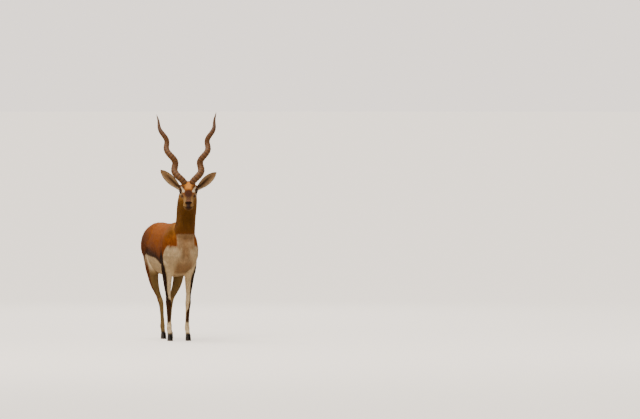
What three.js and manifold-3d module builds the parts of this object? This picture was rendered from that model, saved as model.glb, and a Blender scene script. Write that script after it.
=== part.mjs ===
// A male blackbuck (Antilope cervicapra) standing on its four feet, at life size, in millimetres.
// +Z is up, -Y is the way its chest points and +X is its left side. The head looks over towards its right.
// Each part of the body is one closed solid. Parts that touch keep a hairline gap between them.
import * as THREE from "three";
import { mergeVertices } from "three/addons/utils/BufferGeometryUtils.js";
import Module from "manifold-3d";

const wasm = await Module();
wasm.setup();

// Driving dimensions
const gap = 0.3; // left between parts that touch
const headTurn = THREE.MathUtils.degToRad(-14.5); // the face turns to the animal's right
const headDrop = THREE.MathUtils.degToRad(21); // and the nose points down a little
const eyeLine = new THREE.Vector3(6, -196, 1020); // the middle between the two eyes
const eyeRadius = 16;
const eyeSpread = 47.5; // from the middle of the head to the middle of an eye
const hornRoot = 32; // heights on the horns are measured from the line between the eyes
const hornTip = { left: 527, right: 511 };
const hornBend = 125; // the first outward bend
const hornPitch = 146; // height climbed in one turn of the spiral
const hornCoil = 14.5; // how far the spiral swings from its axis
const hornSpread = 0.35; // sideways run of the axis for each unit of height
const hornLean = 0.577; // backward run of the axis for each unit of height
const hornSkew = -0.029; // both horns also stray a little to the animal's right
const hornRings = 24;
const hornRinged = 0.8; // share of the horn's height that is ringed
const hornSides = 10;
const hornRidge = 1.9; // how far a ring stands out near the root
const earTip = { left: 122, right: 138 }; // above the line between the eyes; the right ear is pricked higher
const coronetHeight = 36; // top of the hooves
const pelvisShift = -23; // the rump stands a little to the animal's right
const coat = "#a5621f";

const vec = (x, y, z) => new THREE.Vector3(x, y, z);
const lerp = THREE.MathUtils.lerp;
const left = 1;
const right = -1;
const sideName = (side) => (side === left ? "left" : "right");

// Meshes and solids

// Closes a stack of rings, each with the same number of points, into one body.
function stack(rings, capped = "fan") {
  const count = rings[0].length;
  const points = rings.flat();
  const faces = [];
  for (let r = 0; r + 1 < rings.length; r++)
    for (let i = 0; i < count; i++) {
      const a = r * count + i;
      const b = r * count + ((i + 1) % count);
      faces.push(a, b, b + count, a, b + count, a + count);
    }
  const last = (rings.length - 1) * count;
  if (capped === "fan") {
    const middle = (ring) => ring.reduce((sum, p) => sum.add(p), vec(0, 0, 0)).divideScalar(count);
    points.push(middle(rings[0]), middle(rings.at(-1)));
    for (let i = 0; i < count; i++) {
      const next = (i + 1) % count;
      faces.push(points.length - 2, next, i, points.length - 1, last + i, last + next);
    }
  } else {
    // a section folded back on itself, such as an ear's: its two halves are stitched together
    for (let i = 0; i + 1 < count / 2; i++) {
      const [j, k] = [count - 1 - i, count - 2 - i];
      faces.push(i, k, i + 1, i, j, k);
      faces.push(last + i, last + i + 1, last + k, last + i, last + k, last + j);
    }
  }
  const geometry = new THREE.BufferGeometry().setFromPoints(points);
  geometry.setIndex(faces);
  return geometry;
}

// A manifold solid from a geometry, facing out whichever way its faces were wound.
function solid(geometry, matrix = new THREE.Matrix4()) {
  const bare = geometry.clone().applyMatrix4(matrix);
  bare.deleteAttribute("normal");
  bare.deleteAttribute("uv");
  const merged = mergeVertices(bare, 1e-4);
  const [p, t] = [merged.getAttribute("position").array, merged.index.array];
  let volume = 0;
  const at = (i) => vec(p[3 * i], p[3 * i + 1], p[3 * i + 2]);
  for (let i = 0; i < t.length; i += 3) volume += at(t[i]).dot(at(t[i + 1]).cross(at(t[i + 2])));
  const facesOut = Uint32Array.from(t);
  if (volume < 0) facesOut.reverse();
  const made = { numProp: 3, vertProperties: new Float32Array(p), triVerts: facesOut };
  return new wasm.Manifold(new wasm.Mesh(made));
}

// The largest closed surface of a solid, which drops any loose scrap of a cut.
function largest(body) {
  return body.decompose().sort((a, b) => b.volume() - a.volume())[0];
}

const join = (bodies) => bodies.reduce((sum, body) => sum.add(body));

// Everything on the side of a plane that its normal points to, half the gap clear of the plane.
function beyond(point, normal) {
  const size = 4000;
  const turn = new THREE.Quaternion().setFromUnitVectors(vec(0, 0, 1), normal.clone().normalize());
  const reach = vec(0, 0, size / 2 + gap / 2).applyQuaternion(turn);
  const place = new THREE.Matrix4().compose(point.clone().add(reach), turn, vec(1, 1, 1));
  return solid(new THREE.BoxGeometry(size, size, size), place);
}

// Rounded limbs and trunk

// Rings round a bending middle line. Each station has its middle (at), the half width across (half), and
// how far the section reaches along and against its own upward or forward normal (fore, aft).
function limbRings(stations, count, sides, squareness = 2.3, grow = 0) {
  const line = new THREE.CatmullRomCurve3(stations.map((s) => s.at), false, "catmullrom", 0.5);
  const sizes = new THREE.CatmullRomCurve3(
    stations.map((s) => vec(s.half, s.fore, s.aft)), false, "catmullrom", 0.5);
  const across = vec(1, 0, 0);
  const rings = [];
  for (let k = 0; k <= count; k++) {
    const middle = line.getPoint(k / count);
    const size = sizes.getPoint(k / count).addScalar(grow);
    const along = line.getTangent(k / count);
    const normal = across.clone().cross(along).normalize();
    rings.push(section(middle, across, normal, size, sides, squareness));
  }
  return rings;
}

// One ring: a superellipse whose two halves, along and against the normal, may differ in depth.
function section(middle, across, normal, size, sides, squareness) {
  const ring = [];
  for (let i = 0; i < sides; i++) {
    const angle = (2 * Math.PI * (i + 0.5)) / sides;
    const [c, s] = [Math.cos(angle), Math.sin(angle)];
    const rounded = (v) => Math.sign(v) * Math.abs(v) ** (2 / squareness);
    const depth = s > 0 ? size.y : size.z;
    ring.push(middle.clone().addScaledVector(across, size.x * rounded(c))
      .addScaledVector(normal, depth * rounded(s)));
  }
  return ring;
}

// Pushes ring points outward round each named swelling: its place, radius and height.
function swell(rings, swellings) {
  for (const ring of rings) {
    const middle = ring.reduce((sum, p) => sum.add(p), vec(0, 0, 0)).divideScalar(ring.length);
    for (const p of ring) {
      const out = p.clone().sub(middle).normalize();
      let push = 0;
      for (const s of swellings) push += s.height * Math.exp(-p.distanceToSquared(s.at) / s.radius ** 2);
      p.addScaledVector(out, push);
    }
  }
  return rings;
}

const bothSides = (list) => list.flatMap((s) => [s, { ...s, at: s.at.clone().setX(-s.at.x) }]);

// The trunk, from the point of the breast to the buttocks, level by level along the spine
const trunkSides = 24;
const trunkSteps = 27;
const trunkLevels = [
  { y: -123, top: 624, bottom: 578, half: 20 },
  { y: -118, top: 663, bottom: 546, half: 48 },
  { y: -105, top: 707, bottom: 510, half: 75 },
  { y: -83, top: 739, bottom: 484, half: 96 },
  { y: -48, top: 761, bottom: 466, half: 109 },
  { y: 0, top: 792, bottom: 446, half: 120 },
  { y: 50, top: 806, bottom: 436, half: 121 },
  { y: 105, top: 800, bottom: 430, half: 118 },
  { y: 170, top: 795, bottom: 427, half: 120 },
  { y: 245, top: 791, bottom: 425, half: 126 },
  { y: 325, top: 790, bottom: 432, half: 128, x: -4 },
  { y: 400, top: 792, bottom: 449, half: 122, x: -10 },
  { y: 462, top: 792, bottom: 472, half: 117, x: -15 },
  { y: 535, top: 786, bottom: 498, half: 114, x: pelvisShift },
  { y: 600, top: 768, bottom: 530, half: 100, x: pelvisShift },
  { y: 652, top: 733, bottom: 570, half: 70, x: pelvisShift },
  { y: 684, top: 695, bottom: 612, half: 40, x: pelvisShift },
];
const widestShare = 0.45; // how far up the trunk its widest line runs

function trunk() {
  const stations = trunkLevels.map(({ y, top, bottom, half, x = 0 }) => {
    const widest = lerp(bottom, top, widestShare);
    return { at: vec(x, y, widest), half, fore: top - widest, aft: widest - bottom };
  });
  const swellings = [
    ...bothSides([
      { at: vec(96, -42, 600), radius: 55, height: 7 }, // point of the shoulder
      { at: vec(110, 48, 660), radius: 72, height: 7 }, // shoulder blade
      { at: vec(124, 300, 560), radius: 110, height: 4 }, // belly
      { at: vec(112, 380, 672), radius: 55, height: -10 }, // hollow of the flank
      { at: vec(112, 330, 520), radius: 60, height: 4 }, // fold of the flank
      { at: vec(110, 135, 680), radius: 48, height: -7 }, // behind the shoulder blade
      { at: vec(92, 530, 640), radius: 75, height: 5 }, // muscle of the thigh
    ]),
    { at: vec(pelvisShift - 48, 455, 780), radius: 42, height: 7 }, // hips
    { at: vec(pelvisShift + 48, 455, 780), radius: 42, height: 7 },
  ];
  const sheath = [
    { at: vec(0, 318, 436), half: 15, fore: 10, aft: 11 },
    { at: vec(-3, 362, 432), half: 21, fore: 14, aft: 16 },
    { at: vec(-8, 415, 448), half: 19, fore: 14, aft: 15 },
    { at: vec(-12, 455, 470), half: 14, fore: 10, aft: 10 },
  ];
  const purse = new THREE.SphereGeometry(1, 12, 8);
  const pursePlace = new THREE.Matrix4().compose(
    vec(pelvisShift + 12, 520, 482), new THREE.Quaternion(), vec(25, 28, 38));
  return join([
    solid(stack(swell(limbRings(stations, trunkSteps, trunkSides, 2.15), swellings))),
    solid(stack(limbRings(sheath, 8, 10))),
    solid(purse, pursePlace),
  ]);
}

// The neck, from inside the chest up to the back of the head
const neckStations = [
  { at: vec(0, 40, 625), half: 96, fore: 95, aft: 110 },
  { at: vec(8, -5, 672), half: 92, fore: 98, aft: 118 },
  { at: vec(12, -42, 712), half: 79, fore: 88, aft: 116 },
  { at: vec(15, -68, 755), half: 69, fore: 78, aft: 104 },
  { at: vec(16, -84, 805), half: 66.5, fore: 70, aft: 88 },
  { at: vec(17, -94, 855), half: 67.5, fore: 64, aft: 73 },
  { at: vec(19, -101, 905), half: 69.5, fore: 59, aft: 62 },
  { at: vec(22, -107, 955), half: 67.5, fore: 54, aft: 56 },
  { at: vec(24, -115, 1005), half: 58, fore: 46, aft: 51 },
  { at: vec(25, -126, 1042), half: 41, fore: 34, aft: 40 },
  { at: vec(25, -138, 1068), half: 22, fore: 20, aft: 24 },
];

const neckSteps = 16;
const neckSides = 20;

function neck() {
  const throat = [{ at: vec(12, -160, 890), radius: 34, height: 5 }]; // the voice box
  return solid(stack(swell(limbRings(neckStations, neckSteps, neckSides, 2.1), throat)));
}

// The tail, hanging close to the rump, flat and tapered
const tailStations = [
  { at: vec(pelvisShift, 636, 708), half: 19, fore: 16, aft: 15 },
  { at: vec(pelvisShift, 676, 712), half: 20, fore: 15, aft: 14 },
  { at: vec(pelvisShift, 696, 688), half: 20, fore: 12, aft: 11 },
  { at: vec(pelvisShift, 703, 648), half: 21, fore: 10, aft: 10 },
  { at: vec(pelvisShift, 705, 600), half: 18, fore: 9, aft: 8 },
  { at: vec(pelvisShift + 1, 704, 556), half: 10, fore: 6, aft: 5 },
  { at: vec(pelvisShift + 1, 702, 534), half: 3, fore: 2, aft: 2 },
];

// The legs. Each station gives the height, the middle of the leg and its half sizes.
const legSides = 14;

// A station of a leg, which runs downward, so that its rear is the side that the section's normal points to.
const legStation = (x, y, z, half, fore, aft) => ({ at: vec(x, y, z), half, fore: aft, aft: fore });

function pastern(foot) {
  return [
    legStation(foot.x, foot.y + 4, 118, 14, 13, 15.5),
    legStation(foot.x, foot.y + 3, 88, 17.5, 16, 20),
    legStation(foot.x, foot.y - 6, 62, 15.5, 14, 15),
    legStation(foot.x, foot.y - 20, coronetHeight - 4, 17, 15, 16.5),
  ];
}

const elbow = { x: 77, y: 56 };

function foreleg(side, foot) {
  const top = vec(side * elbow.x, elbow.y, 0);
  const place = (share, ahead, z, half, fore, aft) =>
    legStation(lerp(foot.x, top.x, share), lerp(foot.y, top.y, share) - ahead, z, half, fore, aft);
  const stations = [
    legStation(side * 62, 8, 620, 44, 56, 58),
    legStation(side * 72, 22, 550, 47, 60, 62),
    legStation(side * 78, 44, 485, 42, 48, 48),
    place(1, 2, 435, 34.5, 36, 36),
    place(0.85, 0, 370, 26, 26.5, 27.5),
    place(0.6, 0, 312, 18.5, 19.5, 19.5),
    place(0.45, 1, 280, 19, 21.5, 18),
    place(0.4, 1, 254, 20, 22, 18.5),
    place(0.3, -1, 226, 16.5, 16, 17.5),
    place(0.15, -3, 170, 13.8, 12.8, 15.2),
    ...pastern(foot),
  ];
  return join([solid(stack(limbRings(stations, 30, legSides))), ...dewclaws(foot)]);
}

function hindleg(side, stifle, hock, foot) {
  const hip = vec(pelvisShift + side * 56, 548, 670);
  const between = (from, to, share, z, half, fore, aft) =>
    legStation(lerp(from.x, to.x, share), lerp(from.y, to.y, share), z, half, fore, aft);
  const stations = [
    legStation(hip.x, hip.y, hip.z, 50, 70, 84),
    between(hip, stifle, 0.35, 605, 50, 96, 98),
    between(hip, stifle, 0.7, 535, 46, 92, 92),
    legStation(stifle.x, stifle.y + 8, 470, 40, 66, 78),
    between(stifle, hock, 0.1, 405, 34, 45, 52),
    between(stifle, hock, 0.35, 352, 29, 31, 41),
    between(stifle, hock, 0.7, 308, 22, 23, 36),
    legStation(hock.x, hock.y, 274, 19.5, 20, 31),
    between(hock, foot, 0.45, 242, 17.5, 18, 20),
    between(hock, foot, 0.65, 208, 15, 15, 16.5),
    between(hock, foot, 0.8, 165, 13.5, 13, 15),
    ...pastern(foot),
  ];
  return join([solid(stack(limbRings(stations, 32, legSides))), ...dewclaws(foot)]);
}

// The two small false hooves behind each fetlock
function dewclaws(foot) {
  const claw = new THREE.SphereGeometry(1, 7, 5);
  const turn = new THREE.Quaternion().setFromEuler(new THREE.Euler(0.5, 0, 0));
  return [left, right].map((side) =>
    solid(claw, new THREE.Matrix4().compose(vec(foot.x + side * 9, foot.y + 21, 78), turn, vec(5, 7, 10))));
}

// Where the pastern ends and the hooves begin, higher in front than behind
function coronetPlane(foot) {
  return { point: vec(foot.x, foot.y - 17, coronetHeight), normal: vec(0, 0.42, 0.9) };
}

// One of a foot's two claws: a wedge with a pointed toe and a flat sole
function claw(foot, side) {
  const levels = 4;
  const count = 12;
  const rings = [];
  for (let k = 0; k <= levels; k++) {
    const up = k / levels;
    const toe = lerp(46, 17, up ** 0.9);
    const heel = lerp(16, 19, up);
    const half = lerp(9.2, 8.2, up);
    const ring = [];
    for (let i = 0; i < count; i++) {
      const angle = (2 * Math.PI * (i + 0.5)) / count;
      const along = Math.sin(angle);
      const taper = along > 0 ? 1 - 0.62 * along ** 2.2 : 1;
      const lean = along > 0 ? -side * 2.5 * along ** 2 * (1 - up) : 0; // toes curve towards each other
      ring.push(vec(
        foot.x + side * (half + 0.5) + lean + half * taper * Math.cos(angle) * 0.98,
        foot.y - 22 - (along > 0 ? toe : heel) * along,
        up * (coronetHeight + 12)));
    }
    rings.push(ring);
  }
  const top = coronetPlane(foot);
  return solid(stack(rings)).intersect(beyond(top.point, top.normal.clone().negate()));
}

// The head, in its own frame: x to its left, y forward from the line between the eyes, z up
// The horns and ears are placed in a frame that turns with the head but stays upright.
const crownPlace = new THREE.Matrix4().makeRotationZ(headTurn).setPosition(eyeLine);
const headPlace = crownPlace.clone().multiply(new THREE.Matrix4().makeRotationX(headDrop));
const headPoint = (across, ahead, up) => vec(across, -ahead, up).applyMatrix4(headPlace);

const headLevels = [
  { ahead: -108, top: 10, bottom: -40, half: 24 },
  { ahead: -92, top: 34, bottom: -68, half: 46 },
  { ahead: -64, top: 46, bottom: -86, half: 57 },
  { ahead: -34, top: 48, bottom: -90, half: 58 },
  { ahead: -5, top: 37, bottom: -86, half: 54 },
  { ahead: 24, top: 18, bottom: -79, half: 46.5 },
  { ahead: 54, top: 4, bottom: -76, half: 39 },
  { ahead: 86, top: -7, bottom: -81, half: 34 },
  { ahead: 112, top: -14, bottom: -89, half: 33 },
  { ahead: 130, top: -18, bottom: -93, half: 32 },
  { ahead: 142, top: -22, bottom: -89, half: 28 },
  { ahead: 149, top: -29, bottom: -77, half: 20 },
  { ahead: 152, top: -36, bottom: -64, half: 10 },
];
const jawPinch = 0.26; // how much narrower the jaw is than the cheekbones
const headSides = 24;
const headSteps = 24;

// Draws each ring of the head in towards its lower edge
function pinchJaw(rings) {
  for (const ring of rings) {
    const heights = ring.map((p) => p.z);
    const [top, bottom] = [Math.max(...heights), Math.min(...heights)];
    const middle = (top + bottom) / 2;
    for (const p of ring) {
      const share = Math.max(0, middle - p.z) / (middle - bottom);
      p.x *= 1 - jawPinch * share ** 2;
    }
  }
  return rings;
}

function skull(shrink = 0) {
  const stations = headLevels.map(({ ahead, top, bottom, half }) => {
    const widest = lerp(bottom, top, 0.52);
    return { at: vec(0, -ahead, widest), half, fore: widest - bottom, aft: top - widest };
  });
  const swellings = [
    ...bothSides([
      { at: vec(50, 2, 4), radius: 25, height: 8 }, // rim of the eye socket
      { at: vec(44, 0, 26), radius: 16, height: 3 }, // brow
      { at: vec(46, -12, -20), radius: 16, height: 4 }, // cheekbone
      { at: vec(40, -34, -14), radius: 15, height: -4 }, // hollow before the eye
      { at: vec(50, 42, -50), radius: 34, height: 6 }, // cheek
      { at: vec(28, -120, -50), radius: 15, height: 3 }, // upper lip
      { at: vec(24, -132, -74), radius: 12, height: 2.5 }, // lower lip
      { at: vec(21, -140, -30), radius: 9, height: 3 }, // wing of the nostril
      { at: vec(28, 24, 34), radius: 24, height: 4 }, // root of the horn
    ]),
    { at: vec(0, 34, 48), radius: 26, height: 5 }, // crest between the horns
    { at: vec(0, -60, 2), radius: 26, height: 2 }, // bridge of the nose
    { at: vec(0, -132, -88), radius: 14, height: 3 }, // chin
  ];
  const rings = pinchJaw(limbRings(stations, headSteps, headSides, 2.3, -shrink));
  return solid(stack(swell(rings, swellings)));
}

// The parting of the lips, from below the nose back along both cheeks
function mouthLine() {
  const lipDepth = 4;
  const opening = vec(100, 76, 2);
  const turn = new THREE.Quaternion().setFromEuler(new THREE.Euler(0.13, 0, 0));
  const plate = new THREE.Matrix4().compose(vec(0, -122, -62), turn, vec(1, 1, 1));
  const behindLips = skull(lipDepth).translate([0, lipDepth, 0]);
  return solid(new THREE.BoxGeometry(...opening), plate).subtract(behindLips);
}

function eyeball(side, grow = 0) {
  const ball = new THREE.SphereGeometry(eyeRadius + grow, 14, 9);
  return solid(ball, new THREE.Matrix4().makeTranslation(side * eyeSpread, 0, 0));
}

// Upper and lower lid: a shell that hugs the eyeball, with an almond opening cut through it
const lidThickness = 2.8;
const lidOpening = { half: 14.2, upper: 9, lower: 7.8 };

function lids(side) {
  const shell = new THREE.SphereGeometry(eyeRadius + lidThickness, 16, 10);
  return solid(shell, new THREE.Matrix4().makeTranslation(side * eyeSpread, 0, 0));
}

function lidSlot(side) {
  const shape = new THREE.Shape();
  const { half, upper, lower } = lidOpening;
  shape.moveTo(-half, 0);
  shape.quadraticCurveTo(-half * 0.7, upper, 0, upper);
  shape.quadraticCurveTo(half * 0.7, upper, half, 0);
  shape.quadraticCurveTo(half * 0.7, -lower, 0, -lower);
  shape.quadraticCurveTo(-half * 0.7, -lower, -half, 0);
  const sweep = { depth: 3 * eyeRadius, bevelEnabled: false, curveSegments: 3 };
  const slot = new THREE.ExtrudeGeometry(shape, sweep);
  // the slot's length runs along the head and its depth out to the side; it looks a little forward,
  // and its front corner is the lower one
  const outward = new THREE.Matrix4().makeBasis(vec(0, 1, 0), vec(0, 0, 1), vec(1, 0, 0));
  const turned = new THREE.Matrix4().makeRotationFromEuler(new THREE.Euler(0.12, 0, -0.2));
  const place = new THREE.Matrix4().makeTranslation(side * eyeSpread, 0, 0).scale(vec(side, 1, 1));
  return solid(slot, place.multiply(turned).multiply(outward));
}

function pit(at, size, euler) {
  const turn = new THREE.Quaternion().setFromEuler(euler);
  return solid(new THREE.SphereGeometry(1, 8, 6), new THREE.Matrix4().compose(at, turn, size));
}

// Each nostril is a comma: a round mouth and a slit that curls up and out
function nostril(side) {
  return [
    pit(vec(side * 13, -150, -41), vec(4.6, 8, 5), new THREE.Euler(0.2, 0, side * 0.5)),
    pit(vec(side * 17.5, -146, -35), vec(2.6, 8, 7), new THREE.Euler(0.2, side * 0.8, side * 0.6)),
  ];
}

// The gland before each eye opens as a slit
function glandSlit(side) {
  return pit(vec(side * 43, -33, -19), vec(6.5, 11, 3.2), new THREE.Euler(-0.7, 0, 0));
}

function headShape() {
  const sides = [left, right];
  const whole = join([skull(), ...sides.map(lids)]);
  const hollows = [
    mouthLine(),
    ...sides.map((side) => lidSlot(side)),
    ...sides.map((side) => eyeball(side, gap)),
    ...sides.flatMap(nostril),
    ...sides.map(glandSlit),
  ];
  return hollows.reduce((body, hollow) => body.subtract(hollow), whole).transform(headPlace.elements);
}

// The horns: a spiral that opens outward and leans back, ringed for most of its length
const hornRadii = [
  [0, 16.8], [0.04, 22.4], [0.22, 23.2], [0.38, 21.6], [0.52, 19.8], [0.6, 18.3], [0.73, 17],
  [0.785, 14.6], [0.84, 11.6], [0.89, 9.3], [0.95, 6.1], [0.98, 3.8], [1, 1.2],
];

function between(table, t) {
  const next = table.findIndex(([at]) => at >= t);
  if (next <= 0) return table[0][1];
  const [[t0, v0], [t1, v1]] = [table[next - 1], table[next]];
  return lerp(v0, v1, (t - t0) / (t1 - t0));
}

// The middle of the horn at share t of its height. The axis spreads faster below the first bend, and it
// turns upright near the tip, where the spiral fades.
function hornMiddle(side, t) {
  const height = lerp(hornRoot, hornTip[sideName(side)], t);
  const rise = height - hornBend;
  const phase = (2 * Math.PI * rise) / hornPitch;
  const swing = hornCoil * Math.max(0, 1 - 1.05 * Math.max(0, t) ** 3.5);
  const upright = 0.0011 * Math.max(0, rise - 297) ** 2;
  const across = 74 + hornSpread * rise + 0.11 * Math.min(0, rise) - upright + swing * Math.cos(phase);
  const back = 54 + hornLean * rise + swing * Math.sin(phase);
  return vec(side * across + hornSkew * height, back, height).applyMatrix4(crownPlace);
}

// Steps up the horn: a groove and a ridge for each ring, then plain steps to the tip
function hornSteps() {
  const plainSteps = 8;
  const steps = [];
  for (let k = 0; k < 2 * hornRings; k++)
    steps.push({ share: (hornRinged * k) / (2 * hornRings), ridge: k % 2 });
  for (let k = 0; k <= plainSteps; k++)
    steps.push({ share: lerp(hornRinged, 1, k / plainSteps), ridge: 0 });
  return steps;
}

function horn(side, grow = 0) {
  const small = 0.002; // a share of the height short enough to read the direction from
  const sunk = 0.8; // the grooves lie this far under the measured radius
  const rings = hornSteps().map(({ share, ridge }) => {
    const middle = hornMiddle(side, share);
    const along = hornMiddle(side, share + small).sub(hornMiddle(side, share - small)).normalize();
    const across = vec(0, 1, 0).cross(along).normalize();
    const normal = along.clone().cross(across);
    const fade = Math.min(1, (hornRinged - share) * 9) * (1 - 0.55 * share);
    const radius = between(hornRadii, share) - sunk + hornRidge * ridge * fade + grow;
    return section(middle, across, normal, vec(radius, radius, radius), hornSides, 2);
  });
  return solid(stack(rings));
}

// The ears: a leaf rolled into a cup that opens forward
const earProfile = [
  // share of the length, half width, how far round the cup closes in degrees
  [0, 13, 150], [0.1, 15, 138], [0.22, 21, 112], [0.4, 30, 88], [0.58, 32, 74],
  [0.74, 28, 64], [0.87, 20, 56], [0.95, 12.5, 50], [1, 3.5, 45],
];
const earReach = { out: 187, back: 78 }; // the tip, from the line between the eyes
const earThickness = { root: 4.6, tip: 2.4 };
const earBow = 10; // how far the ear arches back along its length

function ear(side, grow = 0) {
  const root = headPoint(side * 46, -46, -17);
  const facing = (x, y, z) => vec(side * x, y, z).transformDirection(crownPlace);
  const tip = vec(side * earReach.out, earReach.back, earTip[sideName(side)]).applyMatrix4(crownPlace);
  const along = tip.clone().sub(root);
  const opening = facing(0.1, -1, 0.12).projectOnPlane(along.clone().normalize()).normalize();
  const across = along.clone().normalize().cross(opening).normalize();
  const steps = 12;
  const acrossPoints = 8;
  const rings = [];
  for (let k = 0; k <= steps; k++) {
    const t = k / steps;
    const width = between(earProfile.map(([at, half]) => [at, half]), t);
    const wrap = THREE.MathUtils.degToRad(between(earProfile.map(([at, , round]) => [at, round]), t));
    const radius = width / Math.sin(Math.min(wrap, Math.PI / 2));
    const thick = lerp(earThickness.root, earThickness.tip, t);
    const bow = -earBow * Math.sin(Math.PI * t);
    const middle = root.clone().addScaledVector(along, t - (k === 0 ? grow / along.length() : 0))
      .addScaledVector(opening, bow);
    const ring = [];
    const addArc = (r, sweep) => {
      for (let i = 0; i < acrossPoints; i++) {
        const angle = lerp(-sweep, sweep, i / (acrossPoints - 1));
        ring.push(middle.clone().addScaledVector(across, r * Math.sin(angle))
          .addScaledVector(opening, radius - r * Math.cos(angle)));
      }
    };
    const extra = grow / radius;
    addArc(radius + grow, wrap + extra);
    const outer = ring.splice(0);
    addArc(radius - thick - grow, wrap + extra);
    rings.push([...outer, ...ring.reverse()]);
  }
  return solid(stack(rings, "stitch"));
}

// Feet on the ground, under the middle of each fetlock, and the joints of the hind legs above them
const feet = {
  front: { [right]: vec(-62, 60, 0), [left]: vec(62, 52, 0) },
  hind: { [right]: vec(-23, 392, 0), [left]: vec(51, 494, 0) },
};
const hocks = { [right]: vec(-37, 418, 272), [left]: vec(71, 510, 272) };
const stifles = { [right]: vec(-92, 392, 470), [left]: vec(102, 436, 470) };

// An arched block that takes a leg out of the body: open below, rounded above, and sloped
// so that it holds the outside of the shoulder or thigh and leaves the middle of the trunk.
function legBlock(side, inner, arch, slope) {
  const underFloor = -60;
  const reach = 400;
  const shape = new THREE.Shape();
  shape.moveTo(arch.front - arch.splay, underFloor);
  shape.lineTo(arch.front, arch.spring);
  const middle = (arch.front + arch.back) / 2;
  shape.absellipse(middle, arch.spring, (arch.back - arch.front) / 2, arch.rise, Math.PI, 0, true);
  shape.lineTo(arch.back + arch.splay, underFloor);
  const block = new THREE.ExtrudeGeometry(shape, { depth: reach, bevelEnabled: false, curveSegments: 10 });
  // the shape's x runs along the body's y, and its depth runs out to the side
  const basis = new THREE.Matrix4().makeBasis(vec(0, 1, 0), vec(0, 0, 1), vec(side, 0, 0));
  basis.setPosition(inner + side * gap / 2, 0, 0);
  return solid(block, basis).intersect(beyond(slope.point, slope.normal));
}

function build() {
  const sides = [left, right];
  const pieces = [];
  const horns = Object.fromEntries(sides.map((side) => [side, horn(side)]));
  const flesh = {
    foreleg: sides.map((side) => foreleg(side, feet.front[side])),
    hindleg: sides.map((side) => hindleg(side, stifles[side], hocks[side], feet.hind[side])),
  };
  let body = join([
    trunk(), neck(), solid(stack(limbRings(tailStations, 16, 12))),
    ...flesh.foreleg, ...flesh.hindleg,
  ]);

  // everything beyond a plane becomes a piece, and the body is cut back by the gap
  const takeBeyond = (name, point, normal) => {
    const clear = point.clone().addScaledVector(normal.clone().normalize(), -gap);
    pieces.push([name, largest(body.intersect(beyond(point, normal))), coat]);
    body = largest(body.subtract(beyond(clear, normal)));
  };

  // the head joins the neck on a plane from the throat to the nape
  const nape = { point: vec(18, -112, 965), normal: vec(0, -0.36, 0.93) };
  const head = join([headShape(), body.intersect(beyond(nape.point, nape.normal))]);
  body = largest(body.subtract(beyond(nape.point.clone().addScaledVector(nape.normal, -gap), nape.normal)));
  const roots = sides.flatMap((side) => [horn(side, gap), ear(side, gap)]);
  const headCut = head.intersect(beyond(nape.point, nape.normal));
  const skullSolid = roots.reduce((whole, root) => whole.subtract(root), headCut);
  pieces.push(["head", largest(skullSolid), coat]);

  takeBeyond("neck", vec(8, -66, 748), vec(0, -0.56, 0.83));
  takeBeyond("tail", vec(pelvisShift, 687, 700), vec(0, 1, 0));

  for (const side of sides) {
    const name = sideName(side);
    // hooves and the plane that they share with the pastern
    for (const end of ["front", "hind"]) {
      const foot = feet[end][side];
      const { point, normal } = coronetPlane(foot);
      const below = beyond(point, normal.clone().negate());
      const around = new THREE.Matrix4().makeTranslation(foot.x, foot.y, 20);
      const footBox = solid(new THREE.BoxGeometry(70, 120, 90), around);
      body = body.subtract(below.intersect(footBox));
      for (const claws of sides) {
        const where = claws === side ? "outer" : "inner";
        pieces.push([`hoof_${end}_${name}_${where}`, claw(foot, claws), "#2b241f"]);
      }
    }
    const fore = {
      arch: { front: -62, back: 138, spring: 440, rise: 185, splay: 20 },
      slope: { point: vec(side * 62, 0, 500), normal: vec(side * 0.9, 0, -0.4) },
    };
    const hind = {
      arch: { front: 330, back: 682, spring: 480, rise: 175, splay: 120 },
      slope: { point: vec(pelvisShift + side * 52, 0, 545), normal: vec(side * 0.9, 0, -0.42) },
    };
    const parting = (feet.hind[left].x + feet.hind[right].x) / 2;
    for (const [kind, form, inner, joint] of [
      ["foreleg", fore, 0, { point: vec(side * 64, 50, 266), normal: vec(0, 0, 1) }],
      ["hindleg", hind, parting, { point: hocks[side], normal: vec(0, 0.2, 0.98) }],
    ]) {
      const whole = legBlock(side, inner, form.arch, form.slope);
      const { arch, slope } = form;
      const clearSlope = { ...slope, point: slope.point.clone().addScaledVector(slope.normal, -gap) };
      const wider = { ...arch, front: arch.front - gap, back: arch.back + gap, rise: arch.rise + gap };
      const cleared = legBlock(side, inner - side * gap, wider, clearSlope);
      const leg = largest(body.intersect(whole));
      const upper = leg.intersect(beyond(joint.point, joint.normal));
      const lower = leg.intersect(beyond(joint.point, joint.normal.clone().negate()));
      pieces.push([`${kind}_upper_${name}`, largest(upper), coat]);
      pieces.push([`${kind}_lower_${name}`, largest(lower), coat]);
      body = largest(body.subtract(cleared));
    }
    pieces.push([`ear_${name}`, ear(side).subtract(horn(side, gap)), "#7d5a3a"]);
    pieces.push([`horn_${name}`, horns[side], "#4a3222"]);
    pieces.push([`eye_${name}`, eyeball(side).transform(headPlace.elements), "#120a06"]);
  }
  pieces.push(["torso", body, coat]);
  return pieces;
}

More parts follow.
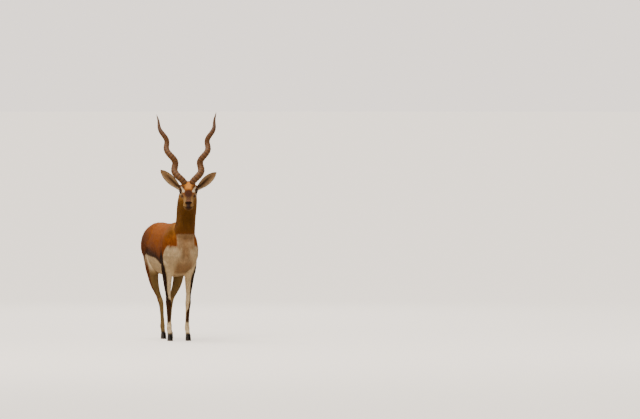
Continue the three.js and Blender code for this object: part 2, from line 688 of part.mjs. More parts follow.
// The group of named meshes, stood on z = 0 with the origin under the middle of the whole animal
function meshOf([name, body, color]) {
  const { vertProperties, triVerts, numProp } = body.getMesh();
  const geometry = new THREE.BufferGeometry();
  const points = new Float32Array((vertProperties.length / numProp) * 3);
  for (let i = 0; i < points.length / 3; i++)
    points.set(vertProperties.subarray(i * numProp, i * numProp + 3), i * 3);
  geometry.setAttribute("position", new THREE.BufferAttribute(points, 3));
  geometry.setIndex(new THREE.BufferAttribute(triVerts, 1));
  const material = new THREE.MeshStandardMaterial({ color, roughness: 0.85, metalness: 0 });
  const mesh = new THREE.Mesh(geometry, material);
  mesh.name = name;
  return mesh;
}

const blackbuck = new THREE.Group();
blackbuck.name = "blackbuck";
for (const piece of build()) blackbuck.add(meshOf(piece));
const bounds = new THREE.Box3().setFromObject(blackbuck);
const middle = bounds.getCenter(vec(0, 0, 0));
blackbuck.position.set(-middle.x, -middle.y, -bounds.min.z);

export default blackbuck;
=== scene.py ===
# A male blackbuck at life size, standing still and looking over to its right, in its short summer coat.
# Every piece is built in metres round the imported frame: x to its left, y to its tail, z up.
import math

import bpy
import numpy as np
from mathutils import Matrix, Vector
from mathutils.bvhtree import BVHTree


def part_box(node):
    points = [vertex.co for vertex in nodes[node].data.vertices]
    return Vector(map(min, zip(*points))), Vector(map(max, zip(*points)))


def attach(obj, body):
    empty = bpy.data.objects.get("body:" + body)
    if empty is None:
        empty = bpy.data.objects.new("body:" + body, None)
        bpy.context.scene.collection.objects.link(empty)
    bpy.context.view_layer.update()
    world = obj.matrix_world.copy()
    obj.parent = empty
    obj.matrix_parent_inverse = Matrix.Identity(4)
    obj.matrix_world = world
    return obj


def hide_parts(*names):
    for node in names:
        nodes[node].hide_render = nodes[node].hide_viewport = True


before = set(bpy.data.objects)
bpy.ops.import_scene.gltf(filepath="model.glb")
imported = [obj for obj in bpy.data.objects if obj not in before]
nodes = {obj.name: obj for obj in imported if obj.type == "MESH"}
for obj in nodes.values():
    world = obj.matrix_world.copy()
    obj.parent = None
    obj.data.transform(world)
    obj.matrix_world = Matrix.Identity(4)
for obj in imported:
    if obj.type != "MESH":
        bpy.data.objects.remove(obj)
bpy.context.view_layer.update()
print("the frame is in")

sides = {"left": 1, "right": -1}
mm = 0.001

# The head turns to its right and nods a little. Places on the body are told from bodyOrigin, which lies on
# the floor under the middle of the breast, and places on the face from the line between the eyes.
pose = {"turn": math.radians(-14.5), "drop": math.radians(21), "eyeLine": (0.006, -0.196, 1.020)}


def middleOf(name):
    low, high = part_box(name)
    return (low + high) / 2


eyeSpot = {side: np.array(middleOf(f"eye_{side}")) for side in sides}
eyeMiddle = (eyeSpot["left"] + eyeSpot["right"]) / 2
bodyOrigin = eyeMiddle - np.array(pose["eyeLine"])
levelAhead = np.array((math.sin(pose["turn"]), -math.cos(pose["turn"]), 0))
headAxes = np.array((
    (math.cos(pose["turn"]), math.sin(pose["turn"]), 0),
    levelAhead * math.cos(pose["drop"]) - np.array((0, 0, math.sin(pose["drop"]))),
    levelAhead * math.sin(pose["drop"]) + np.array((0, 0, math.cos(pose["drop"]))),
))


# Small helpers

def deselectAll():
    if bpy.context.object and bpy.context.object.mode != "OBJECT":
        bpy.ops.object.mode_set(mode="OBJECT")
    bpy.ops.object.select_all(action="DESELECT")


def makeActive(piece, others=()):
    deselectAll()
    for other in others:
        other.select_set(True)
    piece.select_set(True)
    bpy.context.view_layer.objects.active = piece


def applyModifier(piece, kind, **settings):
    makeActive(piece)
    modifier = piece.modifiers.new(kind.lower(), kind)
    for key, value in settings.items():
        setattr(modifier, key, value)
    bpy.ops.object.modifier_apply(modifier=modifier.name)


def editMesh(piece, operator, **settings):
    makeActive(piece)
    bpy.ops.object.mode_set(mode="EDIT")
    bpy.ops.mesh.select_all(action="SELECT")
    operator(**settings)
    bpy.ops.object.mode_set(mode="OBJECT")


def applyPlace(piece):
    makeActive(piece)
    bpy.ops.object.transform_apply(location=True, rotation=True, scale=True)


def readAll(items, key, width, kind=float):
    values = np.empty(len(items) * width, kind)
    items.foreach_get(key, values)
    return values.reshape(-1, width)


def pointsOf(mesh):
    return readAll(mesh.vertices, "co", 3)


def normalsOf(mesh):
    return readAll(mesh.vertex_normals, "vector", 3)


def edgesOf(mesh):
    return readAll(mesh.edges, "vertices", 2, np.int32)


def setPoints(mesh, points):
    mesh.vertices.foreach_set("co", np.ascontiguousarray(points, np.float32).ravel())
    mesh.update()


def smoothStep(low, high, value):
    share = np.clip((value - low) / (high - low), 0, 1)
    return share * share * (3 - 2 * share)


def bump(distance, radius):
    return np.exp(-((distance / radius) ** 2))


def curve(pairs, value):
    # a value read off a line through pairs of place and value
    return np.interp(value, *np.array(pairs).T)


def unit(vectors):
    return vectors / np.maximum(np.linalg.norm(vectors, axis=-1, keepdims=True), 1e-9)


# Where a mark or a relief lies is told by bounds, each from 0 to 1, on measures of the place such as its
# height. A fade runs from none, or the least, to full between two values, near is full at one value and dies
# out round it, plateau does so more squarely, within fades with the distance from a middle, oval does so on
# two measures, between has hard ends, and on is a measure itself.

def fade(measure, none, full, least=0):
    return lambda facts: least + (1 - least) * smoothStep(none, full, facts[measure])


def near(measure, middle, reach):
    return lambda facts: bump(facts[measure] - middle, reach)


def plateau(measure, middle, reach):
    return lambda facts: np.exp(-((facts[measure] - middle) / reach) ** 4)


def between(measure, low=-np.inf, high=np.inf):
    return lambda facts: (facts[measure] > low) & (facts[measure] < high)


def within(measure, middle, none, full):
    return lambda facts: smoothStep(none, full, np.abs(facts[measure] - middle))


def oval(measures, middle, reach, none, full):
    def share(facts):
        offsets = [(facts[m] - at) / r for m, at, r in zip(measures, middle, reach)]
        return smoothStep(none, full, np.hypot(*offsets))
    return share


def on(measure):
    return lambda facts: facts[measure]


def allOf(*bounds, strength=1.0):
    def share(facts):
        product = strength
        for bound in bounds:
            product = product * bound(facts)
        return product
    return share


def either(*bounds):
    return lambda facts: np.max([bound(facts) for bound in bounds], axis=0)


def reliefOf(marks, facts):
    # how far the marks push the skin out
    return sum(allOf(*bounds, strength=height)(facts) for height, *bounds in marks)


def averaged(values, edges, rounds, share=0.5):
    # each value moves towards the mean of its neighbours
    count = np.maximum(np.bincount(edges.ravel(), minlength=len(values)), 1)[:, None]
    for _ in range(rounds):
        total = np.zeros_like(values)
        for axis in range(values.shape[1]):
            total[:, axis] = np.bincount(edges[:, 0], values[edges[:, 1], axis], len(values))
            total[:, axis] += np.bincount(edges[:, 1], values[edges[:, 0], axis], len(values))
        values = values + np.asarray(share) * (total / count - values)
    return values


def setColours(mesh, name, colours):
    layer = mesh.attributes.new(name, "FLOAT_COLOR", "POINT")
    full = np.ones((len(colours), 4), np.float32)
    full[:, :3] = colours
    layer.data.foreach_set("color", full.ravel())


def setNumbers(mesh, name, numbers):
    layer = mesh.attributes.new(name, "FLOAT", "POINT")
    layer.data.foreach_set("value", np.asarray(numbers, np.float32))


def linear(code):
    # an sRGB hex colour as the linear numbers that a shader works in
    shares = [int(code[i:i + 2], 16) / 255 for i in (1, 3, 5)]
    return tuple(s / 12.92 if s <= 0.04045 else ((s + 0.055) / 1.055) ** 2.4 for s in shares)


def newMaterial(name, values):
    material = bpy.data.materials.new(name)
    material.use_nodes = True
    tree = material.node_tree
    shader = tree.nodes["Principled BSDF"]
    for key, value in values.items():
        shader.inputs[key].default_value = value
    return material, tree, shader


def addNode(tree, kind, settings=(), values=(), links=()):
    # one node with its settings, its unlinked values and its links as (input, node, output)
    node = tree.nodes.new(kind)
    for key, value in dict(settings).items():
        setattr(node, key, value)
    for key, value in dict(values).items():
        node.inputs[key].default_value = value
    for key, source, output in links:
        tree.links.new(source.outputs[output], node.inputs[key])
    return node


def dress(piece, material):
    piece.data.materials.clear()
    piece.data.materials.append(material)


def keep(piece, material, slot, *replaced):
    dress(piece, material)
    deselectAll()
    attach(piece, "root")
    if replaced:
        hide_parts(*replaced)


# The flesh: one skin over every flesh node of the frame

limbs = ("foreleg", "hindleg")
fleshNodes = ["head", "neck", "tail", "torso"]
fleshNodes += [f"{limb}_{part}_{side}" for limb in limbs for part in ("upper", "lower") for side in sides]
earNodes = [f"ear_{side}" for side in sides]
partNames = fleshNodes + earNodes

skinBuild = {
    "voxel": 0.0056,  # width of a skin face on the body
    "rounds": 14,  # how often the facets of the frame are smoothed
    "slimLegs": (0.50, 0.36, 0.65),  # slim forms are smoothed less: between two heights, and how much less
    "slimHead": (0.93, 0.98, 0.50),
    "earLevels": 2,
    "hornRoot": 0.062,  # the skin closes round the horns this high above the eyes
    "earRoot": (0.072, -0.045, 0.016),  # and round the roots of the ears here
    "earRootFaces": (0.75, 0, 0.60),
    "fineHead": (-0.10, -0.12, 0.10),  # finer faces ahead of this, above this and this near the middle
    "fineEye": (0.050, 0.030),  # and finer again round here, this far out, and on the muzzle
    "fineMuzzle": 0.088,
}


def copyOf(name):
    twin = bpy.data.objects.new(f"{name}Copy", nodes[name].data.copy())
    bpy.context.scene.collection.objects.link(twin)
    twin.data.materials.clear()
    editMesh(twin, bpy.ops.mesh.remove_doubles, threshold=1e-5)
    return twin


def rootOf(name, place, outward):
    # the part of a horn or an ear that is sunk in the head, closed off
    twin = copyOf(name)
    editMesh(twin, bpy.ops.mesh.bisect, plane_co=tuple(place), plane_no=tuple(outward),
             use_fill=True, clear_outer=True)
    return twin


def keepLargest(piece):
    editMesh(piece, bpy.ops.mesh.separate, type="LOOSE")
    loose = sorted(bpy.context.selected_objects, key=lambda part: len(part.data.vertices))
    for part in loose[:-1]:
        bpy.data.objects.remove(part)
    return loose[-1]


def headCoordinates(points):
    return (points - eyeMiddle) @ headAxes.T


def faceMiddles(mesh):
    return readAll(mesh.polygons, "center", 3)


def refine(piece, chosen):
    # each chosen face is split in four
    makeActive(piece)
    bpy.ops.object.mode_set(mode="EDIT")
    bpy.ops.mesh.select_mode(type="FACE")
    bpy.ops.mesh.select_all(action="DESELECT")
    bpy.ops.object.mode_set(mode="OBJECT")
    piece.data.polygons.foreach_set("select", chosen)
    bpy.ops.object.mode_set(mode="EDIT")
    bpy.ops.mesh.subdivide(number_cuts=1, ngon=False)
    bpy.ops.object.mode_set(mode="OBJECT")


def buildSkin():
    parts = [copyOf(name) for name in fleshNodes + [f"eye_{side}" for side in sides]]
    crown = eyeMiddle + np.array((0, 0, skinBuild["hornRoot"]))
    for side, sign in sides.items():
        parts.append(rootOf(f"horn_{side}", crown, (0, 0, 1)))
        mirror = np.array((sign, 1, 1))
        earPlace = eyeMiddle + headAxes.T @ (mirror * skinBuild["earRoot"])
        parts.append(rootOf(f"ear_{side}", earPlace, headAxes.T @ (mirror * skinBuild["earRootFaces"])))
    makeActive(parts[0], parts[1:])
    bpy.ops.object.join()
    skin = parts[0]
    applyModifier(skin, "REMESH", mode="VOXEL", voxel_size=skinBuild["voxel"], use_smooth_shade=True)
    skin = keepLargest(skin)
    mesh = skin.data
    points = pointsOf(mesh)
    edges = edgesOf(mesh)
    heights = points[:, 2]
    slim = np.ones(len(points))
    for low, high, less in (skinBuild["slimLegs"], skinBuild["slimHead"]):
        slim -= less * smoothStep(low, high, heights)
    for _ in range(skinBuild["rounds"]):
        # a step in and a step out, so that nothing shrinks
        points = averaged(points, edges, 1, (0.6 * slim)[:, None])
        points = averaged(points, edges, 1, (-0.62 * slim)[:, None])
    setPoints(mesh, averaged(points, edges, 1, 0.4))
    shapeBody(mesh)
    print(f"the body is closed: {len(mesh.polygons)} faces")

    # finer faces on the head, and finer again round the eyes and on the muzzle
    place = headCoordinates(faceMiddles(mesh))
    ahead, above, aside = skinBuild["fineHead"]
    refine(skin, (place[:, 1] > ahead) & (place[:, 2] > above) & (np.abs(place[:, 0]) < aside))
    place = headCoordinates(faceMiddles(skin.data))
    out, reach = skinBuild["fineEye"]
    eyes = np.linalg.norm(np.abs(place) - (out, 0, 0), axis=1) < reach
    refine(skin, eyes | (place[:, 1] > skinBuild["fineMuzzle"]))
    shapeFace(skin.data)

    for side in sides:
        ear = copyOf(f"ear_{side}")
        applyModifier(ear, "SUBSURF", levels=skinBuild["earLevels"], render_levels=skinBuild["earLevels"])
        applyModifier(skin, "BOOLEAN", operation="UNION", solver="MANIFOLD", object=ear)
        bpy.data.objects.remove(ear)
    skin = keepLargest(skin)
    skin.name = "skin"
    skin.data.name = "skin"
    print(f"the skin is closed: {len(skin.data.polygons)} faces")
    return skin


# What the frame leaves to the skin of the body: where from bodyOrigin, how far round it and how high
breastRelief = {
    "groove": ((0.004, -0.120, 0.600), (0.016, 0.08, 0.085), -0.0070),
    "leftHalf": ((0.050, -0.105, 0.585), (0.040, 0.06, 0.060), 0.0050),
    "rightHalf": ((-0.042, -0.105, 0.585), (0.040, 0.06, 0.060), 0.0050),
}
sideRelief = {
    "shoulderBlade": ((0.100, 0.020, 0.700), (0.06, 0.030, 0.070), 0.0040),
    "behindShoulder": ((0.110, 0.090, 0.640), (0.06, 0.024, 0.090), -0.0050),
    "elbowMuscle": ((0.105, 0.075, 0.520), (0.06, 0.030, 0.035), 0.0045),
    "hipBone": ((0.070, 0.445, 0.745), (0.04, 0.030, 0.030), 0.0050),
    "flank": ((0.100, 0.385, 0.690), (0.06, 0.035, 0.060), -0.0060),
    "thighFront": ((0.110, 0.440, 0.600), (0.06, 0.030, 0.090), 0.0045),
    "thighGroove": ((0.085, 0.575, 0.600), (0.06, 0.016, 0.090), -0.0035),
}
ribs = {"first": 0.13, "last": 0.34, "count": 6, "height": 0.0006, "middle": 0.61, "reach": 0.09}
ribLean = {"share": 0.35, "from": 0.62}
neckFoot = {"at": (0.006, -0.095, 0.695), "reach": (0.10, 0.06, 0.045), "rounds": 40}


def roundSpot(place, spot, reach):
    return np.exp(-(((place - np.array(spot)) / reach) ** 2).sum(1))


def shapeBody(mesh):
    # the foot of the neck runs into the breast with no crease
    points = pointsOf(mesh)
    fold = roundSpot(points - bodyOrigin, neckFoot["at"], neckFoot["reach"])
    points = averaged(points, edgesOf(mesh), neckFoot["rounds"], 0.6 * fold[:, None])
    setPoints(mesh, points)
    place = points - bodyOrigin
    normals = normalsOf(mesh)
    push = sum(height * roundSpot(place, spot, reach) for spot, reach, height in breastRelief.values())
    for (across, back, high), reach, height in sideRelief.values():
        for way in sides.values():
            push += height * roundSpot(place, (way * across, back, high), reach)
    x, y, z = place.T
    run = y - ribs["first"] - ribLean["share"] * (ribLean["from"] - z)
    run = run / (ribs["last"] - ribs["first"])
    onRibs = smoothStep(0, 0.1, run) * smoothStep(1, 0.9, run) * smoothStep(0.07, 0.09, np.abs(x))
    onRibs = onRibs * bump(z - ribs["middle"], ribs["reach"])
    push += ribs["height"] * np.cos(2 * np.pi * ribs["count"] * run) * onRibs
    setPoints(mesh, points + normals * push[:, None])


# What the frame leaves to the skin of the face, told from the line between the eyes
faceBuild = {
    "eyeRadius": 0.016,
    "eyeTurn": 0.20,  # how far the eyes look forward, in radians
    "opening": (0.0138, 0.0086, 0.0076),  # half length, upper and lower half height of the lids' opening
    "lidThickness": (0.0024, 0.0016),
    "lidReach": 0.034,
}


def headFacts(points, normals):
    # the measures of a place on the head; fall is the height down the face as it hangs
    across, ahead, up = headCoordinates(points).T
    wide = np.abs(across)
    fall = 0.923 * up - 0.387 * ahead
    noseward, upward = normals @ headAxes[1], normals @ headAxes[2]
    jaw = -0.058 - 0.11 * np.maximum(0, 0.142 - ahead)
    return {
        "wide": wide, "ahead": ahead, "up": up, "fall": fall,
        "facesNose": noseward, "facesUp": upward, "facesTop": upward + 0.5 * noseward,
        "facesBack": normals[:, 1],
        "overMouth": up - jaw, "overLips": up - jaw - 0.0005 - 0.06 * np.maximum(0, wide - 0.02),
        "acrossNostril": wide - 0.0135 + 0.55 * (up + 0.036),
        "alongNostril": up + 0.036 - 0.55 * (wide - 0.0135),
        "overSlit": up + 0.5 * ahead,
        "offStreak": np.abs((wide - 0.034) * 0.80 - (fall - 0.004) * 0.58),
        "fromEye": np.hypot(np.hypot(wide - 0.0475, ahead), up),
    }


noseFront = fade("ahead", 0.128, 0.136)
onLips = allOf(fade("ahead", 0.084, 0.094), between("facesUp", high=0.8))
faceRelief = (
    # nostrils: a comma that opens forward and out, with a raised wing behind
    (-0.0062, noseFront, plateau("acrossNostril", 0, 0.0030), plateau("alongNostril", 0, 0.0062)),
    (0.0016, noseFront, near("wide", 0.019, 0.006), near("up", -0.031, 0.006)),
    # the groove under the nose, the parting of the lips and their rims
    (-0.0014, noseFront, near("wide", 0, 0.0014), fade("up", -0.058, -0.05)),
    (-0.0030, onLips, near("overLips", 0, 0.0014)),
    (0.0016, onLips, near("overLips", 0.006, 0.0045)),
    (0.0014, onLips, near("overLips", -0.006, 0.0040)),
    # the gland before each eye opens as a slit
    (-0.0030, near("overSlit", -0.003, 0.0022), plateau("ahead", 0.034, 0.0075),
     between("wide", low=0.02)),
    # brow and cheekbone
    (0.0022, near("wide", 0.045, 0.010), near("ahead", 0.002, 0.010), near("up", 0.021, 0.010)),
    (0.0014, near("ahead", 0.035, 0.0198), near("up", -0.032, 0.009),
     between("wide", low=0.03)),
)


def shapeFace(mesh):
    points, normals = pointsOf(mesh), normalsOf(mesh)
    push = reliefOf(faceRelief, headFacts(points, normals))
    place = headCoordinates(points + normals * push[:, None])

    # lids: the skin lies on the eyeball round an almond opening and dips under it inside
    half, upper, lower = faceBuild["opening"]
    radius = faceBuild["eyeRadius"]
    for side, way in sides.items():
        eye = headCoordinates(eyeSpot[side])
        outward = np.array((way * math.cos(faceBuild["eyeTurn"]), math.sin(faceBuild["eyeTurn"]), 0.05))
        forward = unit(np.cross(np.cross(outward, (0, 1, 0)), outward))
        reach = place - eye
        distance = np.linalg.norm(reach, axis=1)
        ray = reach / distance[:, None]
        onward, over = ray @ forward * radius, ray[:, 2] * radius
        over = over - 0.12 * onward
        height = np.where(over > 0, upper, lower)
        ringed = (np.abs(onward / half) ** 1.7 + np.abs(over / height) ** 1.7) ** (1 / 1.7)
        lid = np.where(over > 0, *faceBuild["lidThickness"])
        rim = radius + lid * (1 - 0.45 * smoothStep(1.15, 1.5, ringed) * smoothStep(1.85, 1.5, ringed))
        sunk = radius - 0.003
        target = np.where(ringed < 1, sunk, rim)
        free = smoothStep(1.6, 2.5, ringed)
        target = target + (np.maximum(distance, rim) - target) * free
        nearEye = (ray @ outward > 0.1) & (distance < faceBuild["lidReach"])
        place = np.where(nearEye[:, None], eye + ray * target[:, None], place)
    setPoints(mesh, place @ headAxes + eyeMiddle)


skin = buildSkin()


# Which node of the frame each point of the skin belongs to

def partsOf(points):
    corners, faces, owner = [], [], []
    for index, name in enumerate(partNames):
        mesh = nodes[name].data
        start = len(corners)
        corners.extend(v.co.copy() for v in mesh.vertices)
        for face in mesh.polygons:
            faces.append([start + v for v in face.vertices])
            owner.append(index)
    tree = BVHTree.FromPolygons(corners, faces)
    return np.array([owner[tree.find_nearest(Vector(p))[2]] for p in points])


def isPart(parts, *words):
    wanted = [all(word in name for word in words) for name in partNames]
    return np.array(wanted)[parts]


# Middle lines of the legs, from the body's own origin: height, then how far left and how far back
legLines = {
    "foreleg_left": (
        (0.0, 0.062, 0.040), (0.12, 0.062, 0.054), (0.28, 0.066, 0.053), (0.62, 0.066, 0.020)),
    "foreleg_right": (
        (0.0, -0.062, 0.048), (0.12, -0.062, 0.062), (0.28, -0.067, 0.058), (0.62, -0.066, 0.020)),
    "hindleg_left": (
        (0.0, 0.051, 0.478), (0.12, 0.051, 0.497), (0.272, 0.071, 0.510), (0.47, 0.100, 0.444),
        (0.67, 0.033, 0.548)),
    "hindleg_right": (
        (0.0, -0.023, 0.376), (0.12, -0.023, 0.395), (0.272, -0.037, 0.418), (0.47, -0.092, 0.400),
        (0.67, -0.079, 0.548)),
}


def roundLeg(place, name):
    # the angle round the leg: 0 outside, 90 behind, -90 in front
    heights, lefts, backs = np.array(legLines[name]).T
    way = 1 if name.endswith("left") else -1
    out = way * (place[:, 0] - np.interp(place[:, 2], heights, lefts))
    back = place[:, 1] - np.interp(place[:, 2], heights, backs)
    return np.degrees(np.arctan2(back, out))


# The markings, with some painted shade and a painted highlight, as sRGB colours
coatLook = {
    "rufous": "#AC5E06",
    # painted shade down the sides below the lit back
    "saddle": "#8E4A05",
    # painted shade on the haunch and behind the shoulder, and the hind legs' own dark stripe
    "haunch": "#733A05",
    # painted shade along the lower flank
    "band": "#301804",
    "neck": "#94652A",
    "nape": "#7A4A12",
    # painted shade on the front of the neck and under the chin
    "throat": "#70480C",
    "white": "#E7CFA8",
    # the white browned by painted shade, on the breast's groove, the bib's foot and under the breast
    "bib": "#B59067",
    "cream": "#F0DAB2",
    # painted shade on the hind legs, which stand in the body's shade
    "shank": "#8E7448",
    "stripe": "#2E1605",
    "cannon": "#4A2A0D",
    "crown": "#94541A",
    "forehead": "#DE933F",
    # painted shadow under the roots of the horns
    "brow": "#4E2A0B",
    "cheek": "#97733F",
    "bridge": "#401D09",
    # the bare nose's own colour, also painted shade in the mouth
    "nosePad": "#2A140B",
    # a painted highlight on the top of the nose
    "noseTop": "#8A5A46",
    "muzzle": "#A07C4B",
    "ringWhite": "#EAD8B8",
    "earBack": "#6E4C28",
    "earInside": "#92714E",
    "earHair": "#B89C76",
    "earDark": "#3A2412",
    "bare": "#22140C",
}


def paint(colours, code, share):
    colours += (np.array(linear(code)) - colours) * np.clip(share, 0, 1)[:, None]


def paintMarks(colours, marks, facts):
    for name, strength, *bounds in marks:
        paint(colours, coatLook[name], allOf(*bounds, strength=strength)(facts))


# Edges that wander: the top of the white belly along the body, and half the white under the tail by height
bellyTop = (
    (-0.06, 0.600), (0.02, 0.570), (0.08, 0.535), (0.12, 0.520), (0.16, 0.535), (0.20, 0.556), (0.34, 0.572),
    (0.42, 0.580), (0.50, 0.520), (0.60, 0.440))
rumpHalf = ((0.46, 0.030), (0.54, 0.058), (0.64, 0.050), (0.70, 0.018))

onNeck = allOf(fade("neckFoot", 0.6475, 0.7875), fade("back", 0.10, -0.05))
belly = allOf(fade("overBelly", 0.006, -0.006), fade("back", 0.03, 0.05))
rump = allOf(fade("back", 0.60, 0.64), fade("offRump", 0.009, -0.009), fade("high", 0.71, 0.68))
bib = allOf(fade("high", 0.738, 0.722), within("left", 0.012, 0.068, 0.052), fade("back", 0.0, -0.03))
breast = allOf(fade("overBreast", 0.013, -0.013), fade("back", 0.05, 0.02))
# painted shade lies down the breast's middle groove and over the foot of the bib
groove = allOf(within("left", 0.006, 0.052, 0.010), fade("high", 0.50, 0.60), fade("back", 0.0, -0.03))
bibFootShade = allOf(fade("high", 0.600, 0.650), within("left", 0.010, 0.072, 0.048), strength=0.9)
bodyMarks = (
    # painted shade: the sides darker below the lit back
    ("saddle", 0.85, fade("high", 0.74, 0.60)),
    # painted shade on the lower haunch
    ("haunch", 1, fade("back", 0.34, 0.50), fade("high", 0.82, 0.68)),
    # painted shade in the hollow behind the shoulder
    ("haunch", 0.65, near("behindShoulder", -0.070, 0.026), fade("high", 0.73, 0.66)),
    # painted shade: a dark band over the white belly along the lower flank, weaker on the haunch
    ("band", 0.9, near("overBelly", 0.014, 0.042), fade("back", 0.0, 0.06), fade("back", 0.50, 0.40, 4 / 9)),
    ("white", 1, either(belly, rump), on("trunk")),
    ("neck", 1, onNeck),
    ("nape", 1, onNeck, fade("facesBack", 0.2, 0.9)),
    # painted shade on the front of the neck under the head, and at its foot
    ("throat", 1, onNeck, fade("facesBack", -0.55, -0.97), fade("high", 0.94, 0.86)),
    ("throat", 0.7, onNeck, near("high", 0.745, 0.035), fade("facesBack", 0.0, -0.6)),
    # the breast: a bib as wide as the neck that opens over both shoulders, with painted shade down its middle
    # groove, at its foot and under the breast
    ("white", 1, either(bib, breast), on("trunk")),
    ("bib", 1, either(bib, breast), either(groove, bibFootShade), on("trunk")),
    ("bib", 1, breast, on("trunk"), fade("high", 0.60, 0.50), fade("back", 0.02, -0.04),
     within("left", 0.004, 0.075, 0.045)),
)


def bodyMarkings(colours, place, normals, parts):
    x, y, z = place.T
    colours[:] = linear(coatLook["rufous"])
    breastTop = 0.655 - 1.35 * np.maximum(0, y + 0.055) + 0.010 * np.sin(34 * x + 1.0)
    paintMarks(colours, bodyMarks, {
        "left": x, "back": y, "high": z, "facesBack": normals[:, 1],
        "trunk": np.any([isPart(parts, word) for word in ("torso", "upper", "tail", "neck")], axis=0),
        "behindShoulder": y - 0.25 * z, "neckFoot": z + 0.25 * y, "overBreast": z - breastTop,
        "overBelly": z - curve(bellyTop, y), "offRump": np.abs(x + 0.023) - curve(rumpHalf, z),
    })


# The stripe down each leg: height, the middle of the stripe round the leg and half its width, in degrees.
# It is wide on the front of both cannons, more so on the right.
stripeLines = {
    "foreleg_left": (
        (0.10, -60, 60), (0.13, -75, 84), (0.185, -75, 84), (0.22, -30, 50), (0.34, -12, 38), (0.50, -8, 40),
        (0.60, 40, 40)),
    "foreleg_right": (
        (0.12, -30, 50), (0.15, -60, 104), (0.26, -60, 110), (0.29, -20, 60), (0.34, -8, 40), (0.50, 5, 46),
        (0.60, 45, 40)),
    "hindleg_left": ((0.10, 60, 20), (0.18, 58, 50), (0.24, 52, 60), (0.34, 48, 52), (0.50, 40, 90)),
    "hindleg_right": ((0.10, 60, 20), (0.18, 40, 64), (0.24, 30, 78), (0.34, 30, 70), (0.50, 40, 90)),
}
onStripe = allOf(on("leg"), fade("offStripe", 9, -9))
legMarks = {
    "foreleg": (
        ("cream", 1, on("leg"), fade("high", 0.52, 0.47)),
        ("stripe", 1, onStripe, fade("high", 0.115, 0.140), fade("high", 0.64, 0.58)),
        ("cannon", 1, onStripe, fade("high", 0.115, 0.140), fade("high", 0.30, 0.24)),
    ),
    "hindleg": (
        # painted shade on the hind legs, which stand in the body's shade
        ("shank", 1, on("leg"), fade("high", 0.50, 0.44)),
        ("haunch", 1, onStripe, fade("high", 0.12, 0.18), fade("high", 0.60, 0.48)),
        # a dark spot below the hock
        ("stripe", 1, on("leg"), near("high", 0.215, 0.035), within("round", 20, 80, 50)),
    ),
}
footMarks = (
    ("stripe", 0.8, on("leg"), fade("high", 0.062, 0.045)),
    # the bare look of the false hooves behind the fetlock
    ("bare", 1, on("leg"), fade("high", 0.100, 0.094), fade("high", 0.064, 0.07), fade("round", 60, 80),
     fade("round", 120, 100)),
)


def legMarkings(colours, place, parts):
    high = place[:, 2]
    for name in legLines:
        limb, side = name.split("_")
        angle = roundLeg(place, name)
        heights, middles, halves = np.array(stripeLines[name]).T
        off = np.abs(angle - np.interp(high, heights, middles)) - np.interp(high, heights, halves)
        facts = {"high": high, "round": angle, "offStripe": off, "leg": isPart(parts, limb, side)}
        paintMarks(colours, legMarks[limb] + footMarks, facts)


